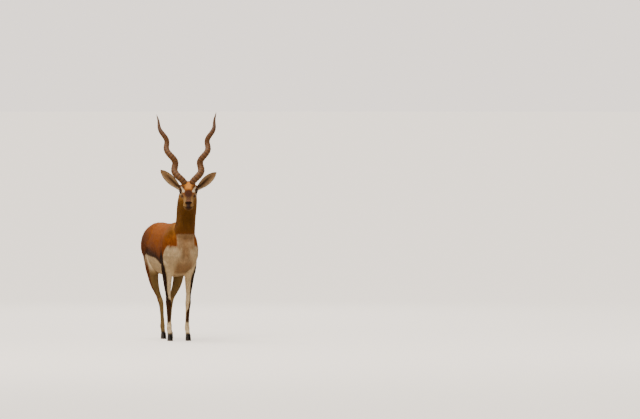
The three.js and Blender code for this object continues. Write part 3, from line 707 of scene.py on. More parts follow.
# The bare nose is as wide as the nostrils at the top, and a narrow strip below them: fall, and half its width
padHalf = (
    (-0.104, 0.011), (-0.098, 0.009), (-0.092, 0.010), (-0.087, 0.015), (-0.083, 0.024), (-0.077, 0.024),
    (-0.072, 0.012))
facesAhead = fade("facesNose", -0.1, 0.35)
chin = allOf(fade("ahead", 0.06, 0.10), fade("overMouth", 0, -0.008))
barePad = allOf(
    fade("ahead", 0.122, 0.128), fade("offPad", 0.0015, -0.0015), between("fall", high=-0.072),
    fade("up", -0.060, -0.057))
faceMarks = (
    ("cheek", 0.9, fade("up", 0.01, -0.035)),
    ("cheek", 1, fade("ahead", 0.05, 0.10)),
    ("neck", 1, fade("ahead", 0.005, -0.075), fade("up", 0.03, -0.03)),
    ("nape", 1, fade("ahead", -0.020, -0.068), fade("facesBack", 0.2, 0.9)),
    ("forehead", 1, fade("wide", 0.036, 0.014), fade("fall", 0.002, 0.022), facesAhead),
    # painted shadow under the roots of the horns
    ("brow", 1, near("wide", 0.038, 0.015), near("fall", 0.022, 0.0125), facesAhead),
    # the pale streak from the ear to a small spot at the inner corner of the eye, and the ring round the eye
    ("ringWhite", 0.75, fade("offStreak", 0.008, 0.003), fade("wide", 0.028, 0.036), fade("fall", 0, 0.010),
     fade("fall", 0.046, 0.030), fade("ahead", -0.030, -0.005)),
    ("ringWhite", 0.92, oval(("wide", "fall"), (0.0335, -0.002), (0.0105, 0.011), 1.1, 0.7),
     between("ahead", low=-0.02)),
    ("ringWhite", 0.65, near("fromEye", 0.0235, 0.0040), fade("up", 0.02, -0.01)),
    ("ringWhite", 0.4, near("wide", 0.055, 0.011), near("fall", -0.025, 0.011 / 1.4),
     fade("ahead", -0.045, -0.015)),
    # the dark patch on the bridge, which fades into a painted highlight, pinkish brown, above the nose
    ("bridge", 0.95, oval(("wide", "fall"), (0, -0.018), (0.030, 0.026), 1.30, 0.60), facesAhead),
    ("bridge", 0.80, fade("wide", 0.027, 0.010), fade("fall", -0.010, -0.030), fade("facesTop", 0.1, 0.5)),
    ("noseTop", 0.9, near("wide", 0, 0.014), near("fall", -0.068, 0.008), facesAhead),
    # the glands before the eyes show as dark spots
    ("bridge", 0.9, near("wide", 0.041, 0.0095), near("fall", -0.038, 0.0095), between("ahead", low=0)),
    ("bare", 0.95, near("overSlit", -0.003, 0.005), near("ahead", 0.034, 0.011), between("wide", low=0.02)),
    # the muzzle: pale at the sides, with painted shade down the middle under the mouth and on the chin
    ("muzzle", 0.75, fade("ahead", 0.092, 0.118), fade("wide", 0.014, 0.026), fade("up", -0.070, -0.050)),
    ("muzzle", 0.25, chin),
    # painted shade under the chin
    ("throat", 0.75, chin, fade("wide", 0.034, 0.012)),
    ("neck", 0.9, fade("up", -0.052, -0.074), fade("ahead", 0.10, 0.05)),
    ("nosePad", 1, barePad),
    # painted shade in the parting of the lips and the opening of the mouth
    ("nosePad", 1, near("overMouth", 0.0005, 0.0026), fade("ahead", 0.088, 0.096)),
    ("nosePad", 0.85, near("wide", 0, 0.020), near("overMouth", -0.005, 0.009), between("ahead", low=0.12)),
    ("bare", 0.95, fade("fromEye", 0.0225, 0.0200)),
)


def headMarkings(colours, points, normals, parts):
    facts = headFacts(points, normals)
    facts["offPad"] = facts["wide"] - curve(padHalf, facts["fall"])
    facts["overThroat"] = facts["up"] + 0.35 * np.minimum(facts["ahead"], 0.05)
    onHead = either(fade("overThroat", -0.105, -0.055), fade("ahead", 0.05, 0.08))(facts)
    onHead = onHead * isPart(parts, "head")
    face = np.full_like(colours, linear(coatLook["crown"]))
    paintMarks(face, faceMarks, facts)
    colours += (face - colours) * onHead[:, None]
    return barePad(facts) * onHead


earLines = {
    # where the root of an ear lies on the head, its tip from the line between the eyes, and half its width
    # by the share of its length
    "root": (0.046, -0.046, -0.017),
    "tip": {"left": (0.187, 0.078, 0.122), "right": (0.187, 0.078, 0.138)},
    "halves": (
        (0, 0.013), (0.22, 0.021), (0.40, 0.030), (0.58, 0.032), (0.74, 0.028), (0.87, 0.020),
        (0.95, 0.0125), (1, 0.0035)),
}
inside = fade("facesIn", 0.0, 0.3)
earMarks = (
    ("earInside", 1, inside),
    # two rows of pale hair and painted shade in a streak down the cup, with a dark rim
    ("earHair", 0.8, inside, near("aside", 0.62, 0.16), fade("along", 0.10, 0.25), fade("along", 0.95, 0.8)),
    ("earDark", 0.85, inside, near("wider", -0.12, 0.26), fade("along", 0.12, 0.25),
     fade("along", 0.85, 0.55)),
    ("earDark", 0.6, fade("aside", 0.86, 1.0), fade("along", 0.2, 0.4)),
    # the root: pale above, with painted shade inside below it, and dark behind
    ("ringWhite", 0.7, inside, fade("along", 0.26, 0.10), fade("wider", 0.0, 0.5)),
    ("earDark", 0.7, inside, fade("along", 0.32, 0.16), fade("wider", 0.3, -0.1)),
    ("earDark", 0.6, fade("facesIn", 0.3, 0.0), fade("along", 0.35, 0.20)),
)


def earFacts(points, normals, side):
    # how far up the ear a point lies, and how far out from its middle line as a share of its half width
    mirror = np.array((sides[side], 1, 1))
    root = eyeMiddle + (mirror * earLines["root"]) @ headAxes
    wide, back, high = mirror * earLines["tip"][side]
    tip = eyeMiddle + headAxes[0] * wide - levelAhead * back + np.array((0, 0, high))
    along = unit(tip - root)
    opening = levelAhead + headAxes[0] * sides[side] * 0.1 + np.array((0, 0, 0.12))
    opening = unit(opening - along * (opening @ along))
    share = (points - root) @ along / np.linalg.norm(tip - root)
    wider = (points - root) @ np.cross(along, opening) * sides[side] / curve(earLines["halves"], share)
    return {"along": share, "wider": wider, "aside": np.abs(wider), "facesIn": normals @ opening}


def earMarkings(colours, points, normals, parts):
    for side in sides:
        onEar = isPart(parts, "ear", side)
        if onEar.any():
            ear = np.full_like(colours, linear(coatLook["earBack"]))
            paintMarks(ear, earMarks, earFacts(points, normals, side))
            colours += (ear - colours) * onEar[:, None]


def markings(points, normals, parts):
    place = points - bodyOrigin
    colours = np.zeros((len(points), 3))
    bodyMarkings(colours, place, normals, parts)
    legMarkings(colours, place, parts)
    moist = headMarkings(colours, points, normals, parts)
    earMarkings(colours, points, normals, parts)
    return colours, moist


# How deep the coat is over the skin, and how its hair lies

coatBuild = {
    # part: depth of the coat, length of a tuft, width of a tuft
    "head": (0.0010, 0.0060, 0.0016),
    "neck": (0.0026, 0.0140, 0.0024),
    "torso": (0.0028, 0.0140, 0.0026),
    "tail": (0.0024, 0.0200, 0.0024),
    "upper": (0.0022, 0.0115, 0.0022),
    "lower": (0.0010, 0.0070, 0.0017),
    "ear": (0.0005, 0.0050, 0.0014),
}


# Which way the hair lies where it isn't along the body, and where the skin is bare
hairWays = {
    "neck": (0, 0.18, -1), "head": -headAxes[1] - 0.25 * headAxes[2], "upper": (0, 0.45, -1),
    "lower": (0, 0.08, -1), "tail": (0, 0.1, -1)}
bareSkin = {
    "eye": (0.022, 0.034),  # the coat deepens from none to full between these distances from an eye's middle
    "nose": (0.126, 0.118),  # and between these places ahead of the eyes
    "noTuft": 0.0215,  # no tuft nearer to the middle of an eye
    "moist": 0.3,  # and none where the nose is as bare as this
}


def partValues(parts, column):
    values = [next(v[column] for key, v in coatBuild.items() if key in name) for name in partNames]
    return np.array(values)[parts]


def lieOfHair(points, parts):
    place = points - bodyOrigin
    x, y, z = place.T
    lie = np.zeros_like(points)
    lie[:, 1] = 1
    lie[:, 2] = -0.55 * np.clip(np.abs(x) / 0.11, 0, 1) * smoothStep(0.80, 0.66, z)
    breast = smoothStep(0.02, -0.06, y) * isPart(parts, "torso")
    lie[:, 1] *= 1 - breast
    lie[:, 2] -= breast
    for word, way in hairWays.items():
        lie[isPart(parts, word)] = way
    for side, way in sides.items():
        lie[isPart(parts, "ear", side)] = headAxes[0] * way * 0.78 + np.array((0, 0.2, 0.6))
    return unit(lie)


def fromEyes(points):
    return np.min([np.linalg.norm(points - eyeSpot[side], axis=1) for side in sides], axis=0)


def readSkin():
    mesh = skin.data
    points, normals = pointsOf(mesh), normalsOf(mesh)
    edges = edgesOf(mesh)
    parts = partsOf(points)
    depth = averaged(partValues(parts, 0)[:, None], edges, 12)[:, 0]
    depth = depth * smoothStep(*bareSkin["eye"], fromEyes(points))
    depth = depth * smoothStep(*bareSkin["nose"], headCoordinates(points)[:, 1])
    inset = points - normals * depth[:, None]
    lie = unit(averaged(lieOfHair(points, parts), edges, 24))
    setPoints(mesh, inset)
    colours, moist = markings(points, normals, parts)
    # the coat's colours carry the markings and the painted shade and highlight
    setColours(mesh, "coatColour", colours)
    setNumbers(mesh, "moist", moist)
    return {
        "points": inset, "normals": normals, "parts": parts, "lie": lie, "outer": points, "moist": moist}


skinFacts = readSkin()
print("the skin is marked")


# An unwrap of the skin: each part is opened round its own middle line and laid in its own strip

def unwrap(points, parts):
    place = points - bodyOrigin
    flat = np.zeros((len(points), 2))
    strips = len(partNames)
    for index, name in enumerate(partNames):
        own = parts == index
        if not own.any():
            continue
        low, high = (np.array(corner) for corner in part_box(name))
        middle = (low + high) / 2
        offset = points[own] - middle
        share = (points[own] - low) / (high - low)
        turn, along = np.arctan2(offset[:, 0], offset[:, 1]), share[:, 2]
        if name == "torso":
            turn, along = np.arctan2(offset[:, 0], offset[:, 2]), share[:, 1]
        elif name == "head":
            inHead = headCoordinates(points[own])
            turn, along = np.arctan2(inHead[:, 0], inHead[:, 2] + 0.03), (inHead[:, 1] + 0.13) / 0.29
        elif "leg" in name:
            limb, _, side = name.split("_")
            turn = np.radians(roundLeg(place[own], f"{limb}_{side}"))
        flat[own, 0] = 0.004 + 0.992 * (turn / (2 * math.pi) + 0.5)
        flat[own, 1] = (index + 0.06 + 0.88 * np.clip(along, 0, 1)) / strips
    return flat


# The tufts: each is a small closed wedge that lies along the body

tuftBuild = {
    "lift": 0.10,  # how steeply a tuft leaves the skin
    "scatter": 0.22,  # how much neighbours differ in direction
    "thick": 0.34,  # thickness as a share of the width
    "sunk": 0.15,  # how deep a tuft stands in the skin, as a share of its width
    "ridge": 0.25,  # where it is thickest, as a share of its length
    "rootTone": 0.86,  # the roots are a little darker than the tips
    "tones": (0.80, 1.16),  # how much neighbours differ in tone
    "lengths": (0.75, 1.2),
    "widths": (0.8, 1.2),
    "patch": 0.003,  # width of a tuft in the unwrap
    "seed": 41,
}
coatPieces = {
    # piece: part, tufts
    "coatHead": ("head", 36000),
    "coatEars": ("ear", 12000),
    "coatNeck": ("neck", 30000),
    "coatTrunkFront": ("torso", 42000),
    "coatTrunkRear": ("torso", 42000),
    "coatForelegs": ("foreleg", 42000),
    "coatHindlegs": ("hindleg", 48000),
    "coatTail": ("tail", 7000),
}


def meshFrom(name, points, triangles):
    mesh = bpy.data.meshes.new(name)
    mesh.vertices.add(len(points))
    mesh.vertices.foreach_set("co", points.astype(np.float32).ravel())
    mesh.loops.add(triangles.size)
    mesh.loops.foreach_set("vertex_index", triangles.astype(np.int32).ravel())
    mesh.polygons.add(len(triangles))
    mesh.polygons.foreach_set("loop_start", np.arange(0, triangles.size, 3, dtype=np.int32))
    mesh.update(calc_edges=True)
    piece = bpy.data.objects.new(name, mesh)
    bpy.context.scene.collection.objects.link(piece)
    return piece


def growTufts(name, wanted, count, random):
    corners = skinFacts["triangles"][wanted]
    points = skinFacts["points"]
    a, b, c = (points[corners[:, i]] for i in range(3))
    areas = np.linalg.norm(np.cross(b - a, c - a), axis=1) * skinFacts["crowd"][corners[:, 0]]
    chosen = random.choice(len(areas), count, p=areas / areas.sum())
    u, v = random.random(count), random.random(count)
    flip = u + v > 1
    u[flip], v[flip] = 1 - u[flip], 1 - v[flip]
    weights = np.stack((1 - u - v, u, v), 1)[:, :, None]
    corner = corners[chosen]
    root, normal, lie, outer = (
        (skinFacts[key][corner] * weights).sum(1) for key in ("points", "normals", "lie", "outer"))
    normal = unit(normal)
    parts = skinFacts["parts"][corner[:, 0]]
    colours, _ = markings(outer, normal, parts)
    length = skinFacts["length"][corner[:, 0]] * random.uniform(*tuftBuild["lengths"], count)
    width = skinFacts["width"][corner[:, 0]] * random.uniform(*tuftBuild["widths"], count)
    lie = unit(lie - normal * (lie * normal).sum(1, keepdims=True))
    across = unit(np.cross(normal, lie))
    lie = unit(lie + across * random.normal(0, tuftBuild["scatter"], count)[:, None])
    across = unit(np.cross(normal, lie))
    rise = lie + normal * (tuftBuild["lift"] * random.uniform(0.6, 1.5, count))[:, None]
    start = root - normal * (tuftBuild["sunk"] * width)[:, None]
    half = across * (0.5 * width)[:, None]
    ridge = start + lie * (tuftBuild["ridge"] * length)[:, None]
    ridge += normal * (tuftBuild["thick"] * width)[:, None]
    tip = start + rise * length[:, None]
    tufts = np.stack((start - half, start + half, ridge, tip), 1).reshape(-1, 3)
    wedge = np.array(((0, 3, 1), (0, 2, 3), (2, 1, 3), (0, 1, 2)))
    faces = np.arange(count)[:, None, None] * 4 + wedge
    piece = meshFrom(name, tufts, faces.reshape(-1, 3))
    shade = random.uniform(*tuftBuild["tones"], count)[:, None]
    warmth = 1 + random.normal(0, 0.03, (count, 3))
    tones = np.repeat((colours * shade * warmth)[:, None, :], 4, 1)
    tones[:, :2] *= tuftBuild["rootTone"]
    setColours(piece.data, "coatColour", np.clip(tones.reshape(-1, 3), 0, 1))
    cornersAt = np.array(((0, 0), (1, 0), (0.5, 0.5), (0.5, 1))) - 0.5
    flat = unwrap(outer, parts)[:, None, :] + cornersAt * tuftBuild["patch"]
    layer = piece.data.uv_layers.new(name="OFBake")
    loops = readAll(piece.data.loops, "vertex_index", 1, np.int32)[:, 0]
    layer.data.foreach_set("uv", flat.reshape(-1, 2)[loops].astype(np.float32).ravel())
    return piece


def growCoat(material):
    parts, points = skinFacts["parts"], skinFacts["outer"]
    skin.data.calc_loop_triangles()
    skinFacts["triangles"] = triangles = readAll(skin.data.loop_triangles, "vertices", 3, np.int32)
    sizes = np.stack((partValues(parts, 1), partValues(parts, 2)), 1)
    sizes = averaged(sizes, edgesOf(skin.data), 14)
    # the hair is finer and shorter on the face and the feet
    fine = 1 - 0.45 * smoothStep(0.0, 0.06, headCoordinates(points)[:, 1]) * isPart(parts, "head")
    feet = 1 - 0.45 * smoothStep(0.14, 0.06, points[:, 2])
    skinFacts["length"] = sizes[:, 0] * fine * feet
    skinFacts["width"] = sizes[:, 1] * np.sqrt(fine * feet)
    bare = (fromEyes(points) < bareSkin["noTuft"]) | (skinFacts["moist"] > bareSkin["moist"])
    skinFacts["crowd"] = np.where(bare, 0, 1 / (skinFacts["length"] * skinFacts["width"]))
    random = np.random.default_rng(tuftBuild["seed"])
    owner = parts[triangles[:, 0]]
    trunkMiddle = bodyOrigin[1] + 0.25
    for name, (word, count) in coatPieces.items():
        wanted = isPart(owner, word)
        if "Trunk" in name:
            behind = points[triangles[:, 0], 1] > trunkMiddle
            wanted &= behind if name.endswith("Rear") else ~behind
        count = count
        piece = growTufts(name, wanted, count, random)
        keep(piece, material, "ear" if name == "coatEars" else "coat")
        print(f"{name}: {count} tufts")


# Materials

def hairMaterial(name, withBump):
    # short dense hair: matt, with a faint sheen and streaks of lighter and darker hair a few millimetres wide
    material, tree, shader = newMaterial(name, {
        "Roughness": 0.78, "IOR": 1.55, "Specular IOR Level": 0.12, "Sheen Weight": 0.04,
        "Sheen Roughness": 0.45})
    colour = addNode(tree, "ShaderNodeAttribute", {"attribute_name": "coatColour"})
    place = addNode(tree, "ShaderNodeTexCoord")
    wide = addNode(tree, "ShaderNodeTexNoise", values={"Scale": 1 / 0.045, "Detail": 3.0, "Roughness": 0.6},
                   links=[("Vector", place, "Object")])
    streaks = addNode(tree, "ShaderNodeMapping", values={"Scale": (1.0, 0.35, 0.35)},
                      links=[("Vector", place, "Object")])
    fine = addNode(tree, "ShaderNodeTexNoise", values={"Scale": 1 / 0.006, "Detail": 4.0, "Roughness": 0.65},
                   links=[("Vector", streaks, "Vector")])
    both = addNode(tree, "ShaderNodeMath", {"operation": "ADD"}, links=[(0, wide, "Fac"), (1, fine, "Fac")])
    tone = addNode(tree, "ShaderNodeMapRange",
                   values={"From Min": 0.7, "From Max": 1.3, "To Min": 0.84, "To Max": 1.14},
                   links=[("Value", both, 0)])
    shaded = addNode(tree, "ShaderNodeVectorMath", {"operation": "SCALE"},
                     links=[(0, colour, "Color"), ("Scale", tone, "Result")])
    tree.links.new(shaded.outputs["Vector"], shader.inputs["Base Color"])
    if withBump:
        moist = addNode(tree, "ShaderNodeAttribute", {"attribute_name": "moist"})
        gloss = addNode(tree, "ShaderNodeMapRange", values={"To Min": 0.78, "To Max": 0.30},
                        links=[("Value", moist, "Fac")])
        tree.links.new(gloss.outputs["Result"], shader.inputs["Roughness"])
        relief = addNode(tree, "ShaderNodeBump", values={"Strength": 0.55, "Distance": 0.0012},
                         links=[("Height", fine, "Fac")])
        tree.links.new(relief.outputs["Normal"], shader.inputs["Normal"])
    return material


skinHair = hairMaterial("shortBuckHair", True)
tuftHair = hairMaterial("buckHairTufts", False)
keep(skin, skinHair, "coat", *partNames)
growCoat(tuftHair)
print("the coat is grown")


# The eyes: a dark brown iris with a level slot for a pupil, under a clear wet cornea
eyeLook = {
    "radius": 0.016,
    "sunk": 0.0002,
    "bulge": 0.0012,  # how far the cornea stands out
    "facing": (0.2, 0.03),  # radians forward, and up
    "rings": {"irisRim": (0.55, 0.66), "iris": (0.70, 0.82)},  # where each ends, as the share that faces out
    "slot": (0.42, 0.20),  # half width and half height of the pupil, as shares of the radius
    "iris": "#2A1409",
    "irisRim": "#120804",
    "white": "#8A7462",
    "pupil": "#020202",
}


def eyeMaterial():
    # a living eye: wet and mirror smooth, so that it holds a sharp highlight
    material, tree, shader = newMaterial("wetEye", {
        "Roughness": 0.08, "IOR": 1.38, "Coat Weight": 1.0, "Coat Roughness": 0.02})
    colour = addNode(tree, "ShaderNodeAttribute", {"attribute_name": "eyeColour"})
    tree.links.new(colour.outputs["Color"], shader.inputs["Base Color"])
    return material


def buildEye(side, material):
    deselectAll()
    bpy.ops.mesh.primitive_uv_sphere_add(segments=48, ring_count=24, radius=eyeLook["radius"],
                                         location=tuple(eyeSpot[side]))
    eye = bpy.context.object
    eye.name = f"eyeball{side.capitalize()}"
    applyPlace(eye)
    mesh = eye.data
    points = pointsOf(mesh)
    turn, rise = eyeLook["facing"]
    outward = headAxes.T @ unit(np.array((sides[side] * math.cos(turn), math.sin(turn), rise)))
    ray = unit(points - eyeSpot[side])
    facing = ray @ outward
    bulge = eyeLook["bulge"] * smoothStep(0.70, 0.95, facing)
    setPoints(mesh, eyeSpot[side] + ray * (eyeLook["radius"] - eyeLook["sunk"] + bulge)[:, None])
    level = unit(np.cross(outward, headAxes[2]))
    along, over = ray @ level, ray @ headAxes[2]
    colours = np.full_like(points, linear(eyeLook["white"]))
    for name, ends in eyeLook["rings"].items():
        paint(colours, eyeLook[name], smoothStep(*ends, facing))
    half, high = eyeLook["slot"]
    slot = smoothStep(1.15, 0.9, np.hypot(along / half, over / high))
    paint(colours, eyeLook["pupil"], slot * (facing > 0))
    setColours(mesh, "eyeColour", colours)
    bpy.ops.object.shade_smooth()
    keep(eye, material, "eye", f"eye_{side}")


wetEye = eyeMaterial()
for side in sides:
    buildEye(side, wetEye)
print("the eyes are in")


# The horns: the same open spiral as in the frame, with its rings modelled one by one
hornBuild = {
    "root": 0.036,  # heights are told from the line between the eyes
    "tip": {"left": 0.527, "right": 0.511},
    "frameRoot": 0.032,
    "bend": 0.125,
    "pitch": 0.146,
    "coil": 0.0145,
    "foot": (0.074, 0.054),  # how far out and how far back the spiral's middle line starts
    "spread": 0.35,
    "footSpread": 0.11,
    "upright": (0.297, 1.1),  # above this height the middle lines turn upright, and how soon
    "lean": 0.577,
    "skew": -0.029,
    "rings": 27,
    "ringedShare": 0.80,
    "ridge": 0.0018,
    "around": 36,
    "perRing": 6,
    "radii": (
        (0, 16.8), (0.04, 22.4), (0.22, 23.2), (0.38, 21.6), (0.52, 19.8), (0.60, 18.3), (0.73, 17),
        (0.785, 14.6), (0.84, 11.6), (0.89, 9.3), (0.95, 6.1), (0.98, 3.8), (1, 1.2)),
}
hornLook = {"ridge": "#5E3812", "rubbed": "#6C4418", "groove": "#4A290C", "tip": "#553414"}
hoofLook = {"wall": "#1B1512", "worn": "#4A3D33"}


def hornMiddle(side, share):
    height = hornBuild["frameRoot"] + (hornBuild["tip"][side] - hornBuild["frameRoot"]) * share
    rise = height - hornBuild["bend"]
    phase = 2 * np.pi * rise / hornBuild["pitch"]
    swing = hornBuild["coil"] * np.maximum(0, 1 - 1.05 * np.maximum(0, share) ** 3.5)
    high, bent = hornBuild["upright"]
    out, behind = hornBuild["foot"]
    across = out + hornBuild["spread"] * rise + hornBuild["footSpread"] * np.minimum(0, rise)
    across = across - bent * np.maximum(0, rise - high) ** 2 + swing * np.cos(phase)
    back = behind + hornBuild["lean"] * rise + swing * np.sin(phase)
    left = sides[side] * across + hornBuild["skew"] * height
    return eyeMiddle + np.stack((left, -back, height), 1) @ np.array((headAxes[0], levelAhead, (0, 0, 1)))


def buildHorn(side, material, random):
    ringed, rings = hornBuild["ringedShare"], hornBuild["rings"]
    steps = rings * hornBuild["perRing"]
    shares = np.concatenate((
        np.linspace(0.012, ringed, steps, endpoint=False), np.linspace(ringed, 1, 22)))
    middles = hornMiddle(side, shares)
    alongs = unit(hornMiddle(side, shares + 0.002) - hornMiddle(side, shares - 0.002))
    firsts = unit(np.cross(-levelAhead, alongs))
    seconds = np.cross(alongs, firsts)
    radii = curve(hornBuild["radii"], shares) * mm - 0.0014
    # the rings lean round the horn, differ a little in size, and fade towards the tip
    fading = smoothStep(ringed + 0.01, ringed - 0.12, shares) * (1 - 0.45 * shares)
    angles = np.linspace(0, 2 * np.pi, hornBuild["around"], endpoint=False)
    uneven = random.uniform(0.8, 1.15, rings + 2)
    turn = shares[:, None] / ringed * rings + 0.22 * np.cos(angles + 1.2) + 0.06 * np.cos(3 * angles)
    swell = np.abs(np.cos(np.pi * turn)) ** 1.6
    size = np.interp(turn, np.arange(rings + 2), uneven)
    ridge = swell * size * fading[:, None]
    furrows = 0.00016 * np.cos(17 * angles + 6 * shares[:, None]) * (1 - 0.5 * shares[:, None])
    reach = radii[:, None] + hornBuild["ridge"] * ridge + furrows
    reach = np.maximum(reach, 0.0006)
    points = middles[:, None] + reach[..., None] * (
        np.cos(angles)[None, :, None] * firsts[:, None] + np.sin(angles)[None, :, None] * seconds[:, None])
    count, around = points.shape[:2]
    corner = np.arange(count * around).reshape(count, around)
    a, b = corner[:-1], np.roll(corner[:-1], -1, 1)
    c, d = corner[1:], np.roll(corner[1:], -1, 1)
    first, last = count * around, count * around + 1
    triangles = np.concatenate([
        np.stack((a, b, d), -1).reshape(-1, 3), np.stack((a, d, c), -1).reshape(-1, 3),
        np.stack((np.full(around, first), b[0], a[0]), -1),
        np.stack((np.full(around, last), c[-1], d[-1]), -1)])
    allPoints = np.concatenate((points.reshape(-1, 3), middles[:1], middles[-1:] + alongs[-1:] * 0.001))
    horn = meshFrom(f"ringedHorn{side.capitalize()}", allPoints, triangles)
    editMesh(horn, bpy.ops.mesh.normals_make_consistent, inside=False)
    horn.data.shade_smooth()
    setNumbers(horn.data, "ridge", np.append(ridge.ravel(), (0, 0)))
    smooth = np.repeat(smoothStep(ringed - 0.06, ringed + 0.05, shares), around)
    setNumbers(horn.data, "smooth", np.append(smooth, (0, 1)))
    keep(horn, material, "horn", f"horn_{side}")


def hornMaterial():
    # ringed keratin: satin brown, lighter on the rubbed ridges and darker in the grooves, with a fine grain
    material, tree, shader = newMaterial("ringedKeratin", {
        "Roughness": 0.60, "IOR": 1.54, "Specular IOR Level": 0.35})
    place = addNode(tree, "ShaderNodeTexCoord")
    grain = addNode(tree, "ShaderNodeTexNoise", values={"Scale": 1 / 0.010, "Detail": 5.0, "Roughness": 0.62},
                    links=[("Vector", place, "Object")])
    ridge = addNode(tree, "ShaderNodeAttribute", {"attribute_name": "ridge"})
    smooth = addNode(tree, "ShaderNodeAttribute", {"attribute_name": "smooth"})
    mixed = addNode(tree, "ShaderNodeMath", {"operation": "MULTIPLY_ADD"}, values={1: 0.55},
                    links=[(0, grain, "Fac"), (2, ridge, "Fac")])
    ramp = addNode(tree, "ShaderNodeValToRGB", links=[("Fac", mixed, 0)])
    stops = ramp.color_ramp.elements
    stops[0].position, stops[0].color = 0.30, (*linear(hornLook["groove"]), 1)
    stops[1].position, stops[1].color = 0.62, (*linear(hornLook["ridge"]), 1)
    rubbed = stops.new(0.98)
    rubbed.color = (*linear(hornLook["rubbed"]), 1)
    tip = addNode(tree, "ShaderNodeMix", {"data_type": "RGBA"}, values={"B": (*linear(hornLook["tip"]), 1)},
                  links=[("Factor", smooth, "Fac"), ("A", ramp, "Color")])
    tree.links.new(tip.outputs["Result"], shader.inputs["Base Color"])
    relief = addNode(tree, "ShaderNodeBump", values={"Strength": 0.35, "Distance": 0.0008},
                     links=[("Height", grain, "Fac")])
    tree.links.new(relief.outputs["Normal"], shader.inputs["Normal"])
    return material


def hoofMaterial():
    # hoof wall: dark satin keratin with growth rings, worn and dusty brown towards the ground
    material, tree, shader = newMaterial("hoofWall", {"Roughness": 0.42, "IOR": 1.54})
    place = addNode(tree, "ShaderNodeTexCoord")
    grain = addNode(tree, "ShaderNodeTexNoise", values={"Scale": 1 / 0.007, "Detail": 4.0},
                    links=[("Vector", place, "Object")])
    height = addNode(tree, "ShaderNodeSeparateXYZ", links=[("Vector", place, "Object")])
    worn = addNode(tree, "ShaderNodeMapRange", values={"From Min": 0.016, "From Max": 0.0, "To Max": 0.5},
                   links=[("Value", height, "Z")])
    both = addNode(tree, "ShaderNodeMath", {"operation": "MULTIPLY_ADD"}, values={1: 0.8},
                   links=[(0, grain, "Fac"), (2, worn, "Result")])
    ramp = addNode(tree, "ShaderNodeValToRGB", links=[("Fac", both, 0)])
    stops = ramp.color_ramp.elements
    stops[0].position, stops[0].color = 0.35, (*linear(hoofLook["wall"]), 1)
    stops[1].position, stops[1].color = 1.0, (*linear(hoofLook["worn"]), 1)
    tree.links.new(ramp.outputs["Color"], shader.inputs["Base Color"])
    rings = addNode(tree, "ShaderNodeTexWave", {"bands_direction": "Z"},
                    values={"Scale": 1 / 0.0125, "Distortion": 1.5, "Detail": 2.0},
                    links=[("Vector", place, "Object")])
    relief = addNode(tree, "ShaderNodeBump", values={"Strength": 0.3, "Distance": 0.0006},
                     links=[("Height", rings, "Fac")])
    tree.links.new(relief.outputs["Normal"], shader.inputs["Normal"])
    return material


def buildHoof(name, material):
    hoof = copyOf(name)
    first, *rest = name.split("_")
    hoof.name = first + "".join(word.capitalize() for word in rest)
    applyModifier(hoof, "BEVEL", width=0.0016, segments=3, limit_method="ANGLE", angle_limit=math.radians(28))
    makeActive(hoof)
    bpy.ops.object.shade_smooth_by_angle(angle=math.radians(50))
    keep(hoof, material, "hoof", name)


ringedKeratin = hornMaterial()
hoofWall = hoofMaterial()
hornRandom = np.random.default_rng(7)
for side in sides:
    buildHorn(side, ringedKeratin, hornRandom)
for name in sorted(nodes):
    if name.startswith("hoof"):
        buildHoof(name, hoofWall)
print("the horns and hooves are finished")


# The floor, the light and the camera

studio = {
    "floorReach": 90.0,
    "floor": "#F1EAE2",
    "floorShade": "#B0A392",
    "floorGlow": 0.9,
    "air": "#F3ECE5",
    "airStrength": 0.60,
    "haze": (1.85, 1.66, 1.50),
    "cameraAway": 60.0,
    "azimuth": math.radians(-14.5),
    "elevation": math.radians(1.75),
    "pixelsPerMetre": 148.0,
    "middle": 0.75,  # the animal's own middle, this high above the floor
    "aim": (0.9439, 0.1385),  # the middle of the picture lies right of, and above, the animal's own
    "imageWidth": 640,
    "sensor": 36.0,
}


lamps = {
    # lamp: kind, place, target, size or spread, power, colour; the bank is an even light from overhead, as
    # wide as a row of soft boxes
    "keyLamp": ("AREA", (-3.0, -3.6, 5.2), (0, 0, 0.8), 3.0, 215, (1.0, 0.91, 0.78)),
    "fillLamp": ("AREA", (4.4, -3.4, 2.6), (0, 0, 0.8), 3.5, 45, (1.0, 0.95, 0.88)),
    "backLamp": ("AREA", (1.5, 5.0, 3.4), (0, 0, 0.8), 3.0, 70, (1.0, 0.93, 0.84)),
    "overheadBank": ("SUN", (0, 0, 6), (0.25, -0.30, 5), math.radians(50), 2.9, (1.0, 0.92, 0.80)),
}


def splitView(tree, elsewhere, seen, target):
    # what the camera sees directly, and what the light in the rest of the scene meets
    rays = addNode(tree, "ShaderNodeLightPath")
    both = addNode(tree, "ShaderNodeMixShader",
                   links=[("Fac", rays, "Is Camera Ray"), (1, elsewhere, 0), (2, seen, 0)])
    tree.links.new(both.outputs["Shader"], tree.nodes[target].inputs["Surface"])


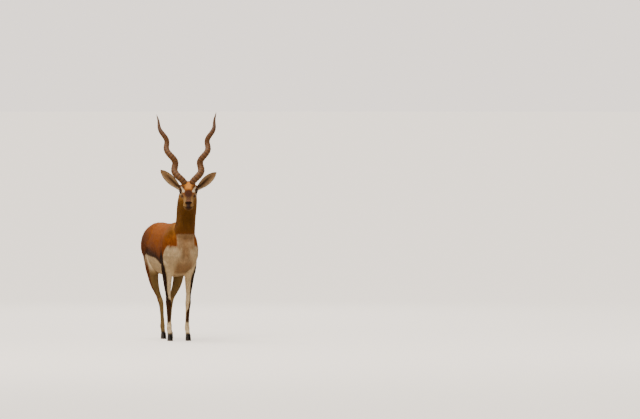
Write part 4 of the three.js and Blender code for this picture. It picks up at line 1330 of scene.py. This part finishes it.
def buildStudio():
    deselectAll()
    bpy.ops.mesh.primitive_circle_add(vertices=96, radius=studio["floorReach"], fill_type="NGON",
                                      location=(0, 0, -0.0005))
    floor = bpy.context.object
    floor.name = "floor"
    applyPlace(floor)
    # matt painted studio floor: to the camera it is pale and lit, as a bright backdrop is, and to everything
    # else it is a plainer grey, so that it throws less light up under the belly
    pale = (*linear(studio["floor"]), 1)
    material, tree, shader = newMaterial("paintedFloor", {
        "Base Color": pale, "Roughness": 0.9, "Specular IOR Level": 0.1, "Emission Color": pale,
        "Emission Strength": studio["floorGlow"]})
    grey = addNode(tree, "ShaderNodeBsdfDiffuse", values={"Color": (*linear(studio["floorShade"]), 1)})
    splitView(tree, grey, shader, "Material Output")
    dress(floor, material)

    world = bpy.data.worlds.new("studioAir")
    world.use_nodes = True
    tree = world.node_tree
    sky = tree.nodes["Background"]
    sky.inputs["Color"].default_value = (*linear(studio["air"]), 1)
    sky.inputs["Strength"].default_value = studio["airStrength"]
    # seen directly, the air is as bright as the lit floor, so that the two meet with no line
    seen = addNode(tree, "ShaderNodeBackground", values={"Color": (*studio["haze"], 1), "Strength": 1.0})
    splitView(tree, sky, seen, "World Output")
    bpy.context.scene.world = world

    for name, (kind, place, target, size, power, colour) in lamps.items():
        deselectAll()
        bpy.ops.object.light_add(type=kind, location=place)
        lamp = bpy.context.object
        lamp.name = name
        setattr(lamp.data, "angle" if kind == "SUN" else "size", size)
        lamp.data.energy = power
        lamp.data.color = colour
        lamp.rotation_euler = (Vector(target) - Vector(place)).to_track_quat("-Z", "Y").to_euler()


def buildCamera():
    turn, lift = studio["azimuth"], studio["elevation"]
    right = Vector((math.cos(turn), math.sin(turn), 0))
    back = Vector((math.sin(turn) * math.cos(lift), -math.cos(turn) * math.cos(lift), math.sin(lift)))
    over = back.cross(right)
    animal = Vector(bodyOrigin) + Vector((0, 0, studio["middle"]))
    stand = animal + back * studio["cameraAway"]
    looks = animal + right * studio["aim"][0] + over * studio["aim"][1] - stand
    deselectAll()
    bpy.ops.object.camera_add(location=stand)
    camera = bpy.context.object
    camera.name = "camera"
    camera.rotation_euler = looks.to_track_quat("-Z", "Y").to_euler()
    seen = studio["imageWidth"] / studio["pixelsPerMetre"]
    camera.data.sensor_width = studio["sensor"]
    camera.data.lens = studio["sensor"] * studio["cameraAway"] / seen
    camera.data.clip_start = 1.0
    camera.data.clip_end = 400.0
    bpy.context.scene.camera = camera


buildStudio()
buildCamera()
print("the studio is lit")
